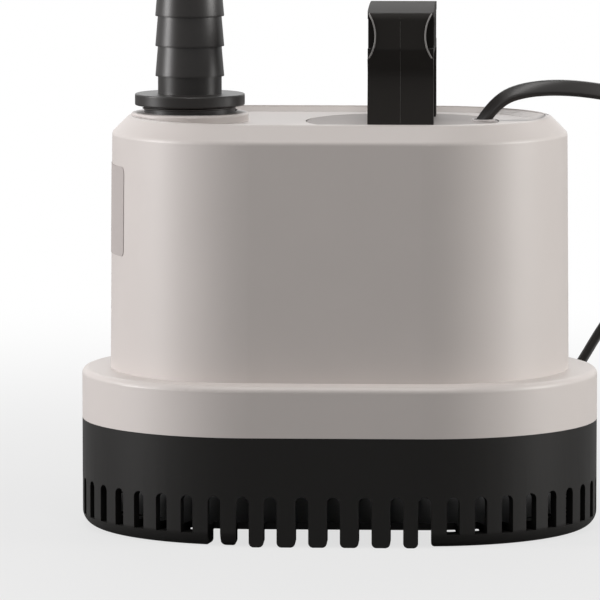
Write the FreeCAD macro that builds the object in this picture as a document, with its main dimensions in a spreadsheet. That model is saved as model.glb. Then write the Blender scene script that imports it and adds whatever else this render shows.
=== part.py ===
"""Bottom-suction submersible utility pump, as a parametric FreeCAD document in millimetres.

The origin is the bottom centre of the strainer, +X runs to the cord's end of the pump, +Y to its
back and +Z up. Every driving size is a named cell of the sheet, and each piece is its own body.
"""
import FreeCAD, Part
import math
import os
import re

import Sketcher

Vector = FreeCAD.Vector
UP = Vector(0, 0, 1)

SIZES = {
    # the plan that strainer, skirt, body and deck share: two half circles and two straight sides
    "end_spacing": (62.0, "between the centres of the two rounded ends"),
    "skirt_radius": (63.0, "end radius of strainer and skirt"),
    "shoulder_width": (11.25, "how far the body's end radius at the deck stays inside the skirt's"),
    "body_draft": (0.85, "growth of the body radius from deck to shoulder"),
    "joint_height": (39.2, "where the housing stands on the strainer"),
    "shoulder_height": (57.6, "top of the skirt"),
    "deck_height": (149.6, "top of the housing"),
    "deck_chamfer": (6.1, "bevel round the deck"),
    "shell_wall": (3.0, "wall of the housing"),
    "dish_depth": (2.1, "how far the deck and the cap lie under the deck's rim"),
    "dish_rim": (1.75, "width of that rim, before its outer edge is rounded"),
    "shoulder_round": (2.2, "rounding of the skirt's upper edge"),
    "bevel_round": (2.0, "rounding of the two edges of the bevel"),
    "lip_slip": (0.3, "play of what fits inside the skirt"),
    # outlet
    "outlet_inset": (28.2, "from the body's -X end at the deck to the outlet axis"),
    "outlet_boss_radius": (21.35, "raised ring round the outlet"),
    "outlet_boss_rise": (0.95, "its rise above the rim"),
    "outlet_boss_round": (0.8, "rounding of its edge"),
    "port_radius": (16.7, "bore of the outlet port, for a G1 thread"),
    "port_depth": (12.0, "depth of the port"),
    "thread_play": (0.08, "play of the fitting in the port"),
    "tower_radius": (20.0, "outside of the socket under the outlet"),
    "tower_depth": (23.0, "its lower end, under the deck"),
    "pipe_radius": (15.0, "outside of the discharge pipe"),
    "pipe_bore": (12.0, "inside radius of the discharge pipe"),
    "pipe_socket": (9.0, "how far the pipe goes into its socket"),
    "pipe_flange_radius": (19.0, "foot of the pipe"),
    "pipe_flange_depth": (3.0, "thickness of that foot"),
    # hose fitting
    "hose_bore": (9.5, "waterway of the fitting"),
    "spigot_length": (11.0, "threaded length inside the port"),
    "collar_rise": (2.6, "thread left showing under the flange"),
    "flange_radius": (20.0, "flange of the fitting"),
    "flange_depth": (4.2, "its thickness"),
    "neck_radius": (11.6, "plain neck and barb roots"),
    "neck_length": (6.4, "neck under the first barb"),
    "barb_radius": (12.5, "barb lips, for a 25 mm hose"),
    "barb_pitch": (10.93, "length of a barb"),
    "barb_count": (5.0, "number of barbs"),
    "seal_section": (0.94, "section radius of the fitting's ring"),
    "seal_play": (0.12, "play of that ring in port and groove"),
    "seal_height": (3.2, "middle of the ring above the spigot's end"),
    # cap and handle
    "cap_offset": (22.8, "from the middle to the cap's axis, towards +X"),
    "cap_radius": (34.9, "round cap in the deck"),
    "cap_seam": (0.3, "seam between cap and deck"),
    "cap_depth": (4.6, "thickness of the cap"),
    "cap_ledge": (4.0, "width of the ledge under the cap"),
    "ledge_depth": (3.0, "depth of the ring that makes the ledge"),
    "grip_width": (23.6, "handle, along X"),
    "grip_height": (42.8, "top of the handle above the cap"),
    "grip_crown": (1.6, "rise of its middle over its ends"),
    "nose_reach": (35.2, "ends of the grip from the cap's axis"),
    "nose_round": (2.5, "upper rounding of those ends"),
    "lip_height": (28.2, "lower lip of the grip's ends"),
    "waist_height": (19.7, "thinnest place of the legs"),
    "waist_reach": (29.3, "outside of the legs there"),
    "waist_depth": (4.6, "thickness of the legs there"),
    "foot_reach": (32.4, "outside of the legs on the cap"),
    "foot_depth": (13.0, "thickness of the legs on the cap"),
    "palm_height": (25.9, "underside of the grip above the cap"),
    "web_thickness": (3.0, "middle web between the hollows"),
    "rim_thickness": (2.3, "rims and ribs round the hollows"),
    "scoop_radius": (15.2, "hollowed sides of the end walls"),
    "scoop_depth": (2.6, "depth of that hollowing"),
    "scoop_height": (33.1, "its middle above the cap"),
    "grip_screw_spacing": (13.0, "between the two screws of a leg"),
    # gland and cord
    "gland_reach": (29.4, "from the cap's axis to the cord gland"),
    "gland_hole": (4.4, "hole for the cord in the cap"),
    "gland_collar": (6.4, "collar under the cap"),
    "gland_length": (22.3, "whole height of the gland"),
    "gland_tail": (3.6, "lower end of its taper"),
    "cord_radius": (2.3, "round of the same area as the flat 6.0 x 3.3 lead"),
    "coil_outer": (41.3, "outside radius of the stored coil"),
    "coil_inner": (25.4, "inside radius of the stored coil"),
    "coil_height": (12.2, "two layers of the lead on edge"),
    "coil_lift": (0.9, "room for the tie under the coil"),
    "tie_width": (12.0, "tie round the coil"),
    "tie_thickness": (0.7, "its strap"),
    "tie_play": (0.1, "between strap and coil"),
    "tie_slack": (1.0, "between strap and the coil's round inside"),
    # strainer
    "strainer_wall": (2.8, "upper wall of the strainer"),
    "rim_width": (9.0, "solid ring that it stands on"),
    "heel_round": (5.5, "rounding of its lower edge"),
    "plate_height": (5.0, "underside of its bottom plate"),
    "plate_thickness": (2.5, "the plate"),
    "locating_lip": (6.0, "lip that goes up inside the skirt"),
    "lip_thickness": (2.2, "that lip"),
    "slot_width": (4.6, "suction slots"),
    "slot_bottom": (4.6, "lower end of the closed slots"),
    "slot_top": (18.1, "rounded upper end of all slots"),
    "slot_depth": (10.5, "how far a slot goes in"),
    "side_pitch": (11.28, "slot pitch on the straight sides"),
    "side_slots": (5.0, "slots on a straight side"),
    "end_slots": (20.0, "slots on a rounded end"),
    "end_pitch": (9.33, "their pitch in degrees"),
    "tooth_round": (1.8, "rounded feet of the open teeth"),
    # wet end
    "rotor_offset": (5.0, "from the middle to the rotor axis, towards +X"),
    "floor_thickness": (4.0, "the motor floor"),
    "gasket_thickness": (1.0, "gasket on the motor floor"),
    "gasket_inset": (1.4, "its inner edge, outside the body's wall"),
    "boss_radius": (4.5, "screw bosses in the housing"),
    "boss_inset": (3.8, "their axes inside the wall"),
    "middle_boss_shift": (20.0, "the two middle ones, towards -X"),
    "boss_length": (9.0, "their length"),
    "screw_radius": (1.5, "shank of all screws"),
    "screw_head": (2.8, "head radius of all screws"),
    "screw_head_depth": (2.2, "head depth of all screws"),
    "screw_grip": (7.0, "length of screw in what it holds to"),
    "casing_height": (18.0, "volute casing under the motor floor"),
    "casing_wall": (3.0, "its wall and roof"),
    "throat_step": (3.2, "growth of the volute in a quarter turn"),
    "volute_radius": (30.0, "first quarter of the volute"),
    "well_pot_radius": (14.0, "round chamber under the pipe"),
    "cover_thickness": (3.0, "volute cover"),
    "cover_gasket": (0.8, "seal between casing and cover"),
    "eye_radius": (14.0, "inlet eye of the cover"),
    "eye_wall": (2.0, "collar round the eye"),
    "eye_drop": (4.0, "how far the collar hangs down"),
    "spider_hub": (7.0, "hub in the eye that holds the shaft"),
    "spider_arm": (2.4, "its three arms"),
    # rotor
    "shaft_radius": (2.5, "ceramic shaft"),
    "shaft_play": (0.05, "running play on the shaft"),
    "magnet_radius": (13.0, "rotor magnet"),
    "magnet_length": (40.0, "its length"),
    "magnet_end": (1.5, "sleeve standing out above the magnet"),
    "sleeve_radius": (6.0, "sleeve inside the magnet"),
    "well_play": (0.6, "round the magnet in its well"),
    "well_wall": (2.0, "wall of the rotor well"),
    "boot_radius": (6.0, "upper rubber boot"),
    "boot_depth": (6.0, "its height"),
    "lower_boot_radius": (4.5, "lower rubber boot"),
    "washer_radius": (4.6, "thrust washers"),
    "washer_thickness": (0.7, "their thickness"),
    "end_play": (0.3, "axial play of the rotor"),
    "impeller_radius": (27.0, "impeller"),
    "impeller_plate": (1.5, "its back plate"),
    "impeller_gap": (1.0, "under the casing roof"),
    "vane_height": (10.5, "straight vanes"),
    "vane_thickness": (2.0, "their thickness"),
    "vane_count": (6.0, "number of vanes"),
    # stator
    "coil_lift_off": (1.5, "room between motor floor and bobbins"),
    "core_stack": (38.0, "height of the stack"),
    "core_half_width": (30.0, "half of the core, along Y"),
    "core_front": (19.0, "core beyond the rotor axis, towards -X"),
    "core_back": (63.0, "core beyond the rotor axis, towards +X"),
    "core_play": (0.4, "between core and rotor well"),
    "leg_width": (18.0, "legs under the coils"),
    "leg_start": (19.0, "window from the rotor axis"),
    "leg_length": (28.0, "window length"),
    "pole_gap": (4.0, "gap between the poles"),
    "bobbin_wall": (1.2, "coil bobbins"),
    "bobbin_flange": (8.0, "their flanges, beyond the leg"),
    "winding_depth": (6.0, "copper on the bobbins"),
    "cutout_length": (13.0, "thermal cut-out"),
    "lead_radius": (1.0, "insulated inner leads"),
    "lead_spread": (1.6, "from the gland's axis to each of them"),
    "lead_inset": (2.8, "from the bobbins' ends to their soldered ends"),
    "lead_bend": (5.5, "length of their bends"),
    "resin_height": (124.6, "top of the potting resin"),
    # plug
    "plug_width": (35.3, "two-pin plug, across the pins"),
    "plug_depth": (13.7, "its thickness"),
    "plug_length": (36.0, "its body"),
    "plug_tail": (13.0, "width where the cord enters"),
    "plug_gap": (0.5, "between the lead's end and the plug"),
    "pin_radius": (2.0, "plug pins"),
    "pin_length": (19.0, "their length"),
    "pin_spacing": (18.6, "between them"),
}

doc = FreeCAD.newDocument("utility_pump")
sheet = doc.addObject("Spreadsheet::Sheet", "Sizes")
for row, (alias, (value, meaning)) in enumerate(SIZES.items(), 1):
    sheet.set(f"A{row}", alias)
    sheet.set(f"B{row}", str(value))
    sheet.set(f"C{row}", meaning)
    sheet.setAlias(f"B{row}", alias)
doc.recompute()


# ---- expressions ----

def number(text):
    """The present value of an expression of the sheet's own words."""
    return float(sheet.evalExpression(text))


def bound(text):
    """The same expression as another object of the document has to write it."""
    return re.sub(r"[a-z_]+", lambda word: f"Sizes.{word[0]}" if word[0] in SIZES else word[0], text)


def whole(alias):
    """A count from the sheet."""
    return int(round(number(alias)))


# heights and radii that more than one piece needs
CAP_TOP = "(deck_height - dish_depth)"
CAP_BOTTOM = "(deck_height - dish_depth - cap_depth)"
PORT_TOP = "(deck_height + outlet_boss_rise)"
SPIGOT_RADIUS = "(port_radius - thread_play)"
FLOOR_BOTTOM = "(shoulder_height - shell_wall - gasket_thickness - floor_thickness)"
FLOOR_TOP = "(shoulder_height - shell_wall - gasket_thickness)"
SKIRT_ROOF = "(shoulder_height - shell_wall)"
BODY_RADIUS = "(skirt_radius - shoulder_width)"
BODY_INSIDE = f"({BODY_RADIUS} - shell_wall)"
SKIRT_INSIDE = "(skirt_radius - shell_wall)"
CASING_BOTTOM = f"({FLOOR_BOTTOM} - casing_height)"
COVER_TOP = f"({CASING_BOTTOM} - cover_gasket)"
COVER_BOTTOM = f"({COVER_TOP} - cover_thickness)"
HUB_BOTTOM = f"({COVER_BOTTOM} - eye_drop)"
ROTOR_BOTTOM = f"({COVER_TOP} + washer_thickness + end_play)"
CORE_BOTTOM = f"({FLOOR_TOP} + coil_lift_off + bobbin_flange)"
CORE_TOP = f"({CORE_BOTTOM} + core_stack)"
MAGNET_BOTTOM = f"({CORE_BOTTOM} + core_stack / 2 - magnet_length / 2)"
ROTOR_TOP = f"({MAGNET_BOTTOM} + magnet_length + magnet_end)"
WELL_TOP = f"({ROTOR_TOP} + end_play + washer_thickness)"
SLEEVE_BORE = "(shaft_radius + shaft_play)"
WELL_RADIUS = "(magnet_radius + well_play)"
HALF = "end_spacing / 2"

# the volute's throat and the chamber under the pipe, in the casing's own directions
THROAT_IN = "(volute_radius - throat_step / 2)"
THROAT_OUT = "(volute_radius + 3.5 * throat_step)"
THROAT_MID = "(volute_radius + 1.5 * throat_step)"
OUTLET_OFFSET = f"(end_spacing / 2 + {BODY_RADIUS} - outlet_inset)"
PIPE_REACH = f"(rotor_offset + {OUTLET_OFFSET})"
POT_REACH = f"sqrt({PIPE_REACH} ^ 2 - {THROAT_MID} ^ 2)"
VOLUTE_TURN = f"(180 deg - atan({POT_REACH} / {THROAT_MID}))"


# ---- sketches ----

def plane_of(body, role):
    """One of a body's own origin planes."""
    return next(item for item in body.Origin.OriginFeatures if item.Role == role)


def new_body(label, x="0", y="0", z="0"):
    """An empty body whose place is bound to the sheet."""
    body = doc.addObject("PartDesign::Body", label)
    body.Label = label
    for axis, text in zip("xyz", (x, y, z)):
        if text != "0":
            body.setExpression(f"Placement.Base.{axis}", bound(text))
    return body


def new_sketch(body, role="XY_Plane", lift="0", across="0"):
    """An empty sketch on an origin plane, lifted along its normal and moved across it."""
    sketch = body.newObject("Sketcher::SketchObject", f"{body.Name}_sketch")
    sketch.AttachmentSupport = [(plane_of(body, role), "")]
    sketch.MapMode = "FlatFace"
    if lift != "0":
        sketch.setExpression("AttachmentOffset.Base.z", bound(lift))
    if across != "0":
        sketch.setExpression("AttachmentOffset.Base.x", bound(across))
    return sketch


def bind(sketch, kind, where, text):
    """A dimension of a sketch that follows the sheet."""
    index = sketch.addConstraint(Sketcher.Constraint(kind, *where, number(text)))
    sketch.setExpression(f"Constraints[{index}]", bound(text))


def bind_point(sketch, item, end, x, y):
    """Holds one point of a sketch at bound distances from the sketch's origin."""
    for kind, axis, text in (("DistanceX", -2, x), ("DistanceY", -1, y)):
        value = number(text)
        if abs(value) < 1e-9:
            sketch.addConstraint(Sketcher.Constraint("PointOnObject", item, end, axis))
        elif value > 0:
            bind(sketch, kind, (-1, 1, item, end), text)
        else:
            bind(sketch, kind, (item, end, -1, 1), f"-({text})")


def circle(sketch, radius, x="0", y="0"):
    """A circle."""
    centre = Vector(number(x), number(y), 0)
    item = sketch.addGeometry(Part.Circle(centre, UP, number(radius)), False)
    bind_point(sketch, item, 3, x, y)
    bind(sketch, "Radius", (item,), radius)


def stadium(sketch, radius):
    """The pump's plan: two half circles on the end centres, joined by straight sides."""
    half, size = number(HALF), number(radius)
    front = sketch.addGeometry(Part.LineSegment(Vector(-half, -size), Vector(half, -size)), False)
    right = sketch.addGeometry(
        Part.ArcOfCircle(Part.Circle(Vector(half, 0), UP, size), -math.pi / 2, math.pi / 2), False)
    back = sketch.addGeometry(Part.LineSegment(Vector(half, size), Vector(-half, size)), False)
    left = sketch.addGeometry(
        Part.ArcOfCircle(Part.Circle(Vector(-half, 0), UP, size), math.pi / 2, 1.5 * math.pi), False)
    for one, other in ((front, right), (right, back), (back, left), (left, front)):
        sketch.addConstraint(Sketcher.Constraint("Tangent", one, 2, other, 1))
    bind_point(sketch, right, 3, HALF, "0")
    bind_point(sketch, left, 3, f"-({HALF})", "0")
    bind(sketch, "Radius", (right,), radius)
    sketch.addConstraint(Sketcher.Constraint("Equal", right, left))


def corner_arc(before, point, after, radius):
    """Where an arc of that radius leaves one side of a corner, bulges and meets the other side."""
    back, ahead = (before - point).normalize(), (after - point).normalize()
    half = back.getAngle(ahead) / 2
    middle = (back + ahead).normalize()
    reach = radius / math.tan(half)
    bulge = point + middle * (radius / math.sin(half) - radius)
    return point + back * reach, bulge, point + ahead * reach


def sketch_arc(before, point, after, radius):
    """A corner's arc, counter-clockwise about +Z, and which of its ends the first side meets."""
    leave, bulge, join = corner_arc(before, point, after, radius)
    centre = bulge + (bulge - point).normalize() * radius
    turns_left = (point - before).cross(after - point).z > 0
    first, last = (leave, join) if turns_left else (join, leave)
    start = math.atan2(first.y - centre.y, first.x - centre.x)
    end = math.atan2(last.y - centre.y, last.x - centre.x)
    if end < start:
        end += 2 * math.pi
    return Part.ArcOfCircle(Part.Circle(centre, UP, radius), start, end), 1 if turns_left else 2


def outline(sketch, corners):
    """A closed line through corners (x, y) or, rounded, (x, y, radius)."""
    points = [Vector(number(corner[0]), number(corner[1]), 0) for corner in corners]
    count = len(corners)
    neighbours = [(points[i - 1], points[i], points[(i + 1) % count]) for i in range(count)]
    radii = [number(corner[2]) if len(corner) > 2 else 0 for corner in corners]
    ends = [
        corner_arc(*trio, radius) if radius else (trio[1], trio[1], trio[1])
        for trio, radius in zip(neighbours, radii)]
    sides = [
        sketch.addGeometry(Part.LineSegment(ends[i][2], ends[(i + 1) % count][0]), False)
        for i in range(count)]
    for i, corner in enumerate(corners):
        before, after = sides[i - 1], sides[i]
        if not radii[i]:
            sketch.addConstraint(Sketcher.Constraint("Coincident", before, 2, after, 1))
            bind_point(sketch, after, 1, corner[0], corner[1])
            continue
        curve, near = sketch_arc(*neighbours[i], radii[i])
        arc = sketch.addGeometry(curve, False)
        sketch.addConstraint(Sketcher.Constraint("Tangent", before, 2, arc, near))
        sketch.addConstraint(Sketcher.Constraint("Tangent", arc, 3 - near, after, 1))
        bind(sketch, "Radius", (arc,), corner[2])
        mark = sketch.addGeometry(Part.Point(points[i]), True)
        for side in (before, after):
            sketch.addConstraint(Sketcher.Constraint("PointOnObject", mark, 1, side))
        bind_point(sketch, mark, 1, corner[0], corner[1])


def rectangle(sketch, left, right, bottom, top):
    """A rectangle between four bound limits."""
    outline(sketch, [(left, bottom), (right, bottom), (right, top), (left, top)])


# ---- features ----

def extrude(body, sketch, length, cut=False, upward=True, symmetric=False):
    """A pad, or a pocket, along the sketch's normal or against it."""
    feature = body.newObject("PartDesign::Pocket" if cut else "PartDesign::Pad", f"{body.Name}_step")
    feature.Profile = sketch
    feature.setExpression("Length", bound(length))
    feature.Reversed = upward if cut else not upward
    if symmetric:
        feature.SideType = "Symmetric"
    return feature


def turn(body, sketch, cut=False):
    """A revolution, or a groove, about the sketch's upright axis."""
    feature = body.newObject("PartDesign::Groove" if cut else "PartDesign::Revolution", f"{body.Name}_turn")
    feature.Profile = sketch
    feature.ReferenceAxis = (sketch, ["V_Axis"])
    feature.Angle = 360
    return feature


def dress(body, base, kind, names, size):
    """A fillet or chamfer on some edges of the feature before it."""
    feature = body.newObject(f"PartDesign::{kind}", f"{body.Name}_edge")
    feature.Base = (base, names)
    feature.setExpression("Size" if kind == "Chamfer" else "Radius", bound(size))
    return feature


def edges_at(feature, *heights):
    """Names of the edges that lie flat at one of some heights."""
    doc.recompute()
    levels = [number(height) for height in heights]
    return [
        f"Edge{i}" for i, edge in enumerate(feature.Shape.Edges, 1)
        if any(max(abs(edge.BoundBox.ZMin - z), abs(edge.BoundBox.ZMax - z)) < 1e-3 for z in levels)
    ]


def disc(body, radius, bottom, height, x="0", y="0", cut=False):
    """A round boss or hole that goes up from a height."""
    sketch = new_sketch(body, lift=bottom)
    circle(sketch, radius, x, y)
    return extrude(body, sketch, height, cut=cut)


def slab(body, radius, bottom, height, cut=False):
    """A layer, or a hollow, of the pump's plan that goes up from a height."""
    sketch = new_sketch(body, lift=bottom)
    stadium(sketch, radius)
    return extrude(body, sketch, height, cut=cut)


def around(body, feature, sketch, angle, count):
    """Copies of a feature about the normal through a sketch's origin."""
    pattern = body.newObject("PartDesign::PolarPattern", f"{body.Name}_ring")
    pattern.Originals = [feature]
    pattern.Axis = (sketch, ["N_Axis"])
    pattern.Angle = angle
    pattern.Occurrences = count
    body.Tip = pattern
    return pattern


def turned_piece(label, corners, x="0", y="0", z="0"):
    """A body of revolution from its half section (radius, height)."""
    body = new_body(label, x, y, z)
    sketch = new_sketch(body, "XZ_Plane")
    outline(sketch, corners)
    turn(body, sketch)
    return body


def cylinder(label, radius, height, x, y, z):
    """A plain Part cylinder, all of it bound."""
    item = doc.addObject("Part::Cylinder", label)
    item.setExpression("Radius", bound(radius))
    item.setExpression("Height", bound(height))
    for axis, text in zip("xyz", (x, y, z)):
        item.setExpression(f"Placement.Base.{axis}", bound(text))
    return item


def box(label, x, y, z):
    """A plain Part box between bound limits, each given as (low, high)."""
    item = doc.addObject("Part::Box", label)
    for side, axis, (low, high) in zip(("Length", "Width", "Height"), "xyz", (x, y, z)):
        item.setExpression(side, bound(f"({high}) - ({low})"))
        item.setExpression(f"Placement.Base.{axis}", bound(low))
    return item


def cut(label, base, tool):
    """One shape less another."""
    item = doc.addObject("Part::Cut", label)
    item.Label = label
    item.Base = base
    item.Tool = tool
    return item


def group(label, items):
    """Separate solids that share a node."""
    item = doc.addObject("Part::Compound", label)
    item.Label = label
    item.Links = items
    return item


def ring(label, outer, inner, height, x, y, z):
    """A plain tube."""
    return cut(label, cylinder(f"{label}_outside", outer, height, x, y, z),
               cylinder(f"{label}_inside", inner, height, x, y, z))


# ---- housing ----

SCREW_REACH = f"({BODY_INSIDE} - boss_inset)"
CORNER_X = f"({HALF} + {SCREW_REACH} * cos(45))"
CORNER_Y = f"({SCREW_REACH} * sin(45))"
FLOOR_SCREWS = [(f"{a}{CORNER_X}", f"{b}{CORNER_Y}") for a in ("", "-") for b in ("", "-")]
FLOOR_SCREWS += [("-middle_boss_shift", SCREW_REACH), ("-middle_boss_shift", f"-{SCREW_REACH}")]
OUTLET_X = f"-{OUTLET_OFFSET}"
GLAND_X = "(cap_offset + gland_reach)"


def make_motor_housing():
    """One moulding: skirt, body, bevelled deck, outlet port, cap seat and screw bosses."""
    body = new_body("motor_housing")
    skirt = slab(body, "skirt_radius", "joint_height", "shoulder_height - joint_height")
    dress(body, skirt, "Fillet", edges_at(skirt, "shoulder_height"), "shoulder_round")
    lower = new_sketch(body, lift="shoulder_height")
    stadium(lower, f"{BODY_RADIUS} + body_draft")
    upper = new_sketch(body, lift="deck_height")
    stadium(upper, BODY_RADIUS)
    shell = body.newObject("PartDesign::AdditiveLoft", "body_shell")
    shell.Profile = lower
    shell.Sections = [upper]
    shell.Ruled = True
    bevel = dress(body, shell, "Chamfer", edges_at(shell, "deck_height"), "deck_chamfer")
    soft = edges_at(bevel, "deck_height", "deck_height - deck_chamfer")
    dress(body, bevel, "Fillet", soft, "bevel_round")
    slab(body, f"{BODY_RADIUS} - deck_chamfer - dish_rim", CAP_TOP, "dish_depth", cut=True)
    boss = disc(body, "outlet_boss_radius", "deck_height - shell_wall",
                "shell_wall + outlet_boss_rise", OUTLET_X)
    dress(body, boss, "Fillet", edges_at(boss, PORT_TOP), "outlet_boss_round")
    slab(body, SKIRT_INSIDE, "joint_height", f"{SKIRT_ROOF} - joint_height", cut=True)
    slab(body, BODY_INSIDE, "joint_height", "deck_height - deck_chamfer - joint_height", cut=True)
    roof = f"{CAP_TOP} - shell_wall"
    slab(body, f"{BODY_INSIDE} - deck_chamfer", "joint_height", f"{roof} - joint_height", cut=True)
    disc(body, "cap_radius + cap_seam + shell_wall", f"{roof} - ledge_depth", "ledge_depth", "cap_offset")
    disc(body, "tower_radius", "deck_height - tower_depth", "tower_depth - shell_wall", OUTLET_X)
    for x, y in FLOOR_SCREWS:
        disc(body, "boss_radius", FLOOR_TOP, "boss_length", x, y)
    disc(body, "cap_radius + cap_seam", CAP_BOTTOM, "cap_depth + dish_depth", "cap_offset", cut=True)
    below_cap = f"{roof} - ledge_depth"
    disc(body, "cap_radius - cap_ledge", below_cap, "shell_wall + ledge_depth", "cap_offset", cut=True)
    disc(body, "gland_collar + lip_slip", below_cap, f"{CAP_BOTTOM} - ({below_cap})", GLAND_X, cut=True)
    disc(body, "port_radius", f"{PORT_TOP} - port_depth", "port_depth", OUTLET_X, cut=True)
    disc(body, "pipe_bore", "deck_height - tower_depth", "tower_depth", OUTLET_X, cut=True)
    disc(body, "pipe_radius + lip_slip / 2", "deck_height - tower_depth", "pipe_socket", OUTLET_X, cut=True)
    for x, y in FLOOR_SCREWS:
        disc(body, "screw_radius", FLOOR_TOP, "screw_grip + screw_radius", x, y, cut=True)
    return body


# ---- cap, handle and gland ----

GRIP_SCREW_Y = "(foot_reach - foot_depth / 2)"
GRIP_SCREWS = [
    (f"{a}grip_screw_spacing / 2", f"{b}{GRIP_SCREW_Y}") for a in ("", "-") for b in ("", "-")]


def make_top_cap():
    """Round cap glued flush into the deck, with the cord's hole and the handle's screw holes."""
    body = turned_piece("top_cap", [
        ("0", "0"), ("cap_radius", "0"), ("cap_radius", "cap_depth", "cap_seam"), ("0", "cap_depth"),
    ], x="cap_offset", z=CAP_BOTTOM)
    disc(body, "gland_hole", "0", "cap_depth", "gland_reach", cut=True)
    for x, y in GRIP_SCREWS:
        disc(body, "screw_radius", "0", "cap_depth", x, y, cut=True)
    return body


def make_carry_handle():
    """Moulded carrying handle: an arch on two feet, hollowed from its sides to a middle web."""
    body = new_body("carry_handle", x="cap_offset", z=CAP_TOP)
    half_outside = [
        ("foot_reach", "0"), ("waist_reach", "waist_height", "5"), ("nose_reach - 0.4", "lip_height", "1.2"),
        ("nose_reach", "grip_height - grip_crown", "nose_round"),
    ]
    half_inside = [
        ("waist_reach - waist_depth", "palm_height", "4"),
        ("waist_reach - waist_depth", "waist_height - rim_thickness", "6"),
        ("foot_reach - foot_depth", "0"),
    ]
    crown = [("0", "grip_height + grip_crown", "340")]
    mirrored = [[(f"-({corner[0]})", *corner[1:]) for corner in side] for side in (half_outside, half_inside)]
    arch = new_sketch(body, "YZ_Plane")
    outline(arch, half_outside + crown + mirrored[0][::-1] + mirrored[1][::-1] + half_inside)
    extrude(body, arch, "grip_width", symmetric=True)
    hollow_depth = "(grip_width - web_thickness) / 2"
    low, high = "palm_height + rim_thickness", "grip_height - grip_crown - rim_thickness"
    nose_wall = "(nose_reach - rim_thickness)"
    first = f"({nose_wall} - 9)"
    second = f"({first} - rim_thickness)"
    for sign in (1, -1):
        for start, stop in ((first, nose_wall), (f"({second} - 10)", second)):
            ends = (start, stop) if sign > 0 else (f"-{stop}", f"-{start}")
            for side in ("", "-"):
                hollow = new_sketch(body, "YZ_Plane", lift=f"{side}web_thickness / 2")
                rectangle(hollow, *ends, low, high)
                extrude(body, hollow, hollow_depth, cut=True, upward=side == "")
    for sign in ("", "-"):
        waist = new_sketch(body, "XZ_Plane", lift=f"{sign}(nose_reach - rim_thickness - 3)")
        for side in ("", "-"):
            reach = f"{side}(grip_width / 2 + scoop_radius - scoop_depth)"
            circle(waist, "scoop_radius", reach, "scoop_height")
        extrude(body, waist, "rim_thickness + 4", cut=True, upward=sign == "")
    for x, y in GRIP_SCREWS:
        disc(body, "screw_radius", "0", "screw_grip + screw_radius", x, y, cut=True)
    return body


def make_cord_gland(cord_start, cord_way):
    """Rubber gland under the cap, tapered downwards, with the cord's slanting hole."""
    collar_top = "gland_length - cap_depth"
    solid = turned_piece("gland_rubber", [
        ("0", "0"), ("gland_tail", "0"), ("gland_collar - 1", f"{collar_top} - ledge_depth"),
        ("gland_collar", f"{collar_top} - ledge_depth"), ("gland_collar", collar_top),
        ("gland_hole", collar_top), ("gland_hole", "gland_length - 0.8"), ("0", "gland_length - 0.8"),
    ], x=GLAND_X, z=f"{CAP_TOP} - gland_length")
    hole = doc.addObject("Part::Cylinder", "cord_hole")
    hole.setExpression("Radius", bound("cord_radius"))
    hole.setExpression("Height", bound("gland_length * 1.25"))
    hole.Placement = FreeCAD.Placement(cord_start, FreeCAD.Rotation(UP, cord_way))
    return cut("cord_gland", solid, hole)


# ---- outlet ----

def make_hose_barb():
    """Turned fitting: spigot with ring groove, flange, neck and a row of barbs, on one waterway."""
    spigot_end = "(port_depth - spigot_length)"
    start = "port_depth"
    flange_bottom = f"({start} + collar_rise)"
    neck_bottom = f"({flange_bottom} + flange_depth)"
    first_lip = f"({neck_bottom} + neck_length)"
    groove_root = f"({SPIGOT_RADIUS} + thread_play - seal_play * 2 - seal_section * 2)"
    groove = "(seal_section + seal_play)"
    body = turned_piece("hose_barb", [
        ("hose_bore", spigot_end), (SPIGOT_RADIUS, spigot_end),
        (SPIGOT_RADIUS, f"{spigot_end} + seal_height - {groove}"),
        (groove_root, f"{spigot_end} + seal_height - {groove}"),
        (groove_root, f"{spigot_end} + seal_height + {groove}"),
        (SPIGOT_RADIUS, f"{spigot_end} + seal_height + {groove}"),
        (SPIGOT_RADIUS, flange_bottom), ("flange_radius", flange_bottom),
        ("flange_radius", neck_bottom), ("hose_bore", neck_bottom),
    ], x=OUTLET_X, z=f"{PORT_TOP} - port_depth")
    dress(body, body.Tip, "Fillet", edges_at(body.Tip, flange_bottom, neck_bottom), "0.5")
    corners = [("hose_bore", neck_bottom)]
    for barb in range(whole("barb_count")):
        lip = f"({first_lip} + {barb} * barb_pitch)"
        if not barb:
            corners.append(("neck_radius", neck_bottom))
        corners.append(("neck_radius", lip))
        corners += [("barb_radius", lip), ("barb_radius", f"{lip} + 0.5")]
    top = f"({first_lip} + barb_count * barb_pitch)"
    corners += [("neck_radius", f"{top} - 0.5"), ("neck_radius - 0.5", top), ("hose_bore", top)]
    barbs = new_sketch(body, "XZ_Plane")
    outline(barbs, corners)
    turn(body, barbs)
    return body


def make_fitting_seal():
    """Ring in the groove of the fitting's spigot."""
    item = doc.addObject("Part::Torus", "fitting_seal")
    item.setExpression("Radius1", bound("port_radius - seal_play - seal_section"))
    item.setExpression("Radius2", bound("seal_section"))
    item.setExpression("Placement.Base.x", bound(OUTLET_X))
    height = f"{PORT_TOP} - spigot_length + seal_height"
    item.setExpression("Placement.Base.z", bound(height))
    return item


def make_discharge_pipe():
    """Riser from the volute to the outlet port, with a foot."""
    top = f"(deck_height - tower_depth + pipe_socket - {FLOOR_BOTTOM})"
    return turned_piece("discharge_pipe", [
        ("pipe_bore", "0"), ("pipe_flange_radius", "0"), ("pipe_flange_radius", "pipe_flange_depth"),
        ("pipe_radius", "pipe_flange_depth", "1"), ("pipe_radius", top), ("pipe_bore", top),
    ], x=OUTLET_X, z=FLOOR_BOTTOM)


# ---- motor floor ----

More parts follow.
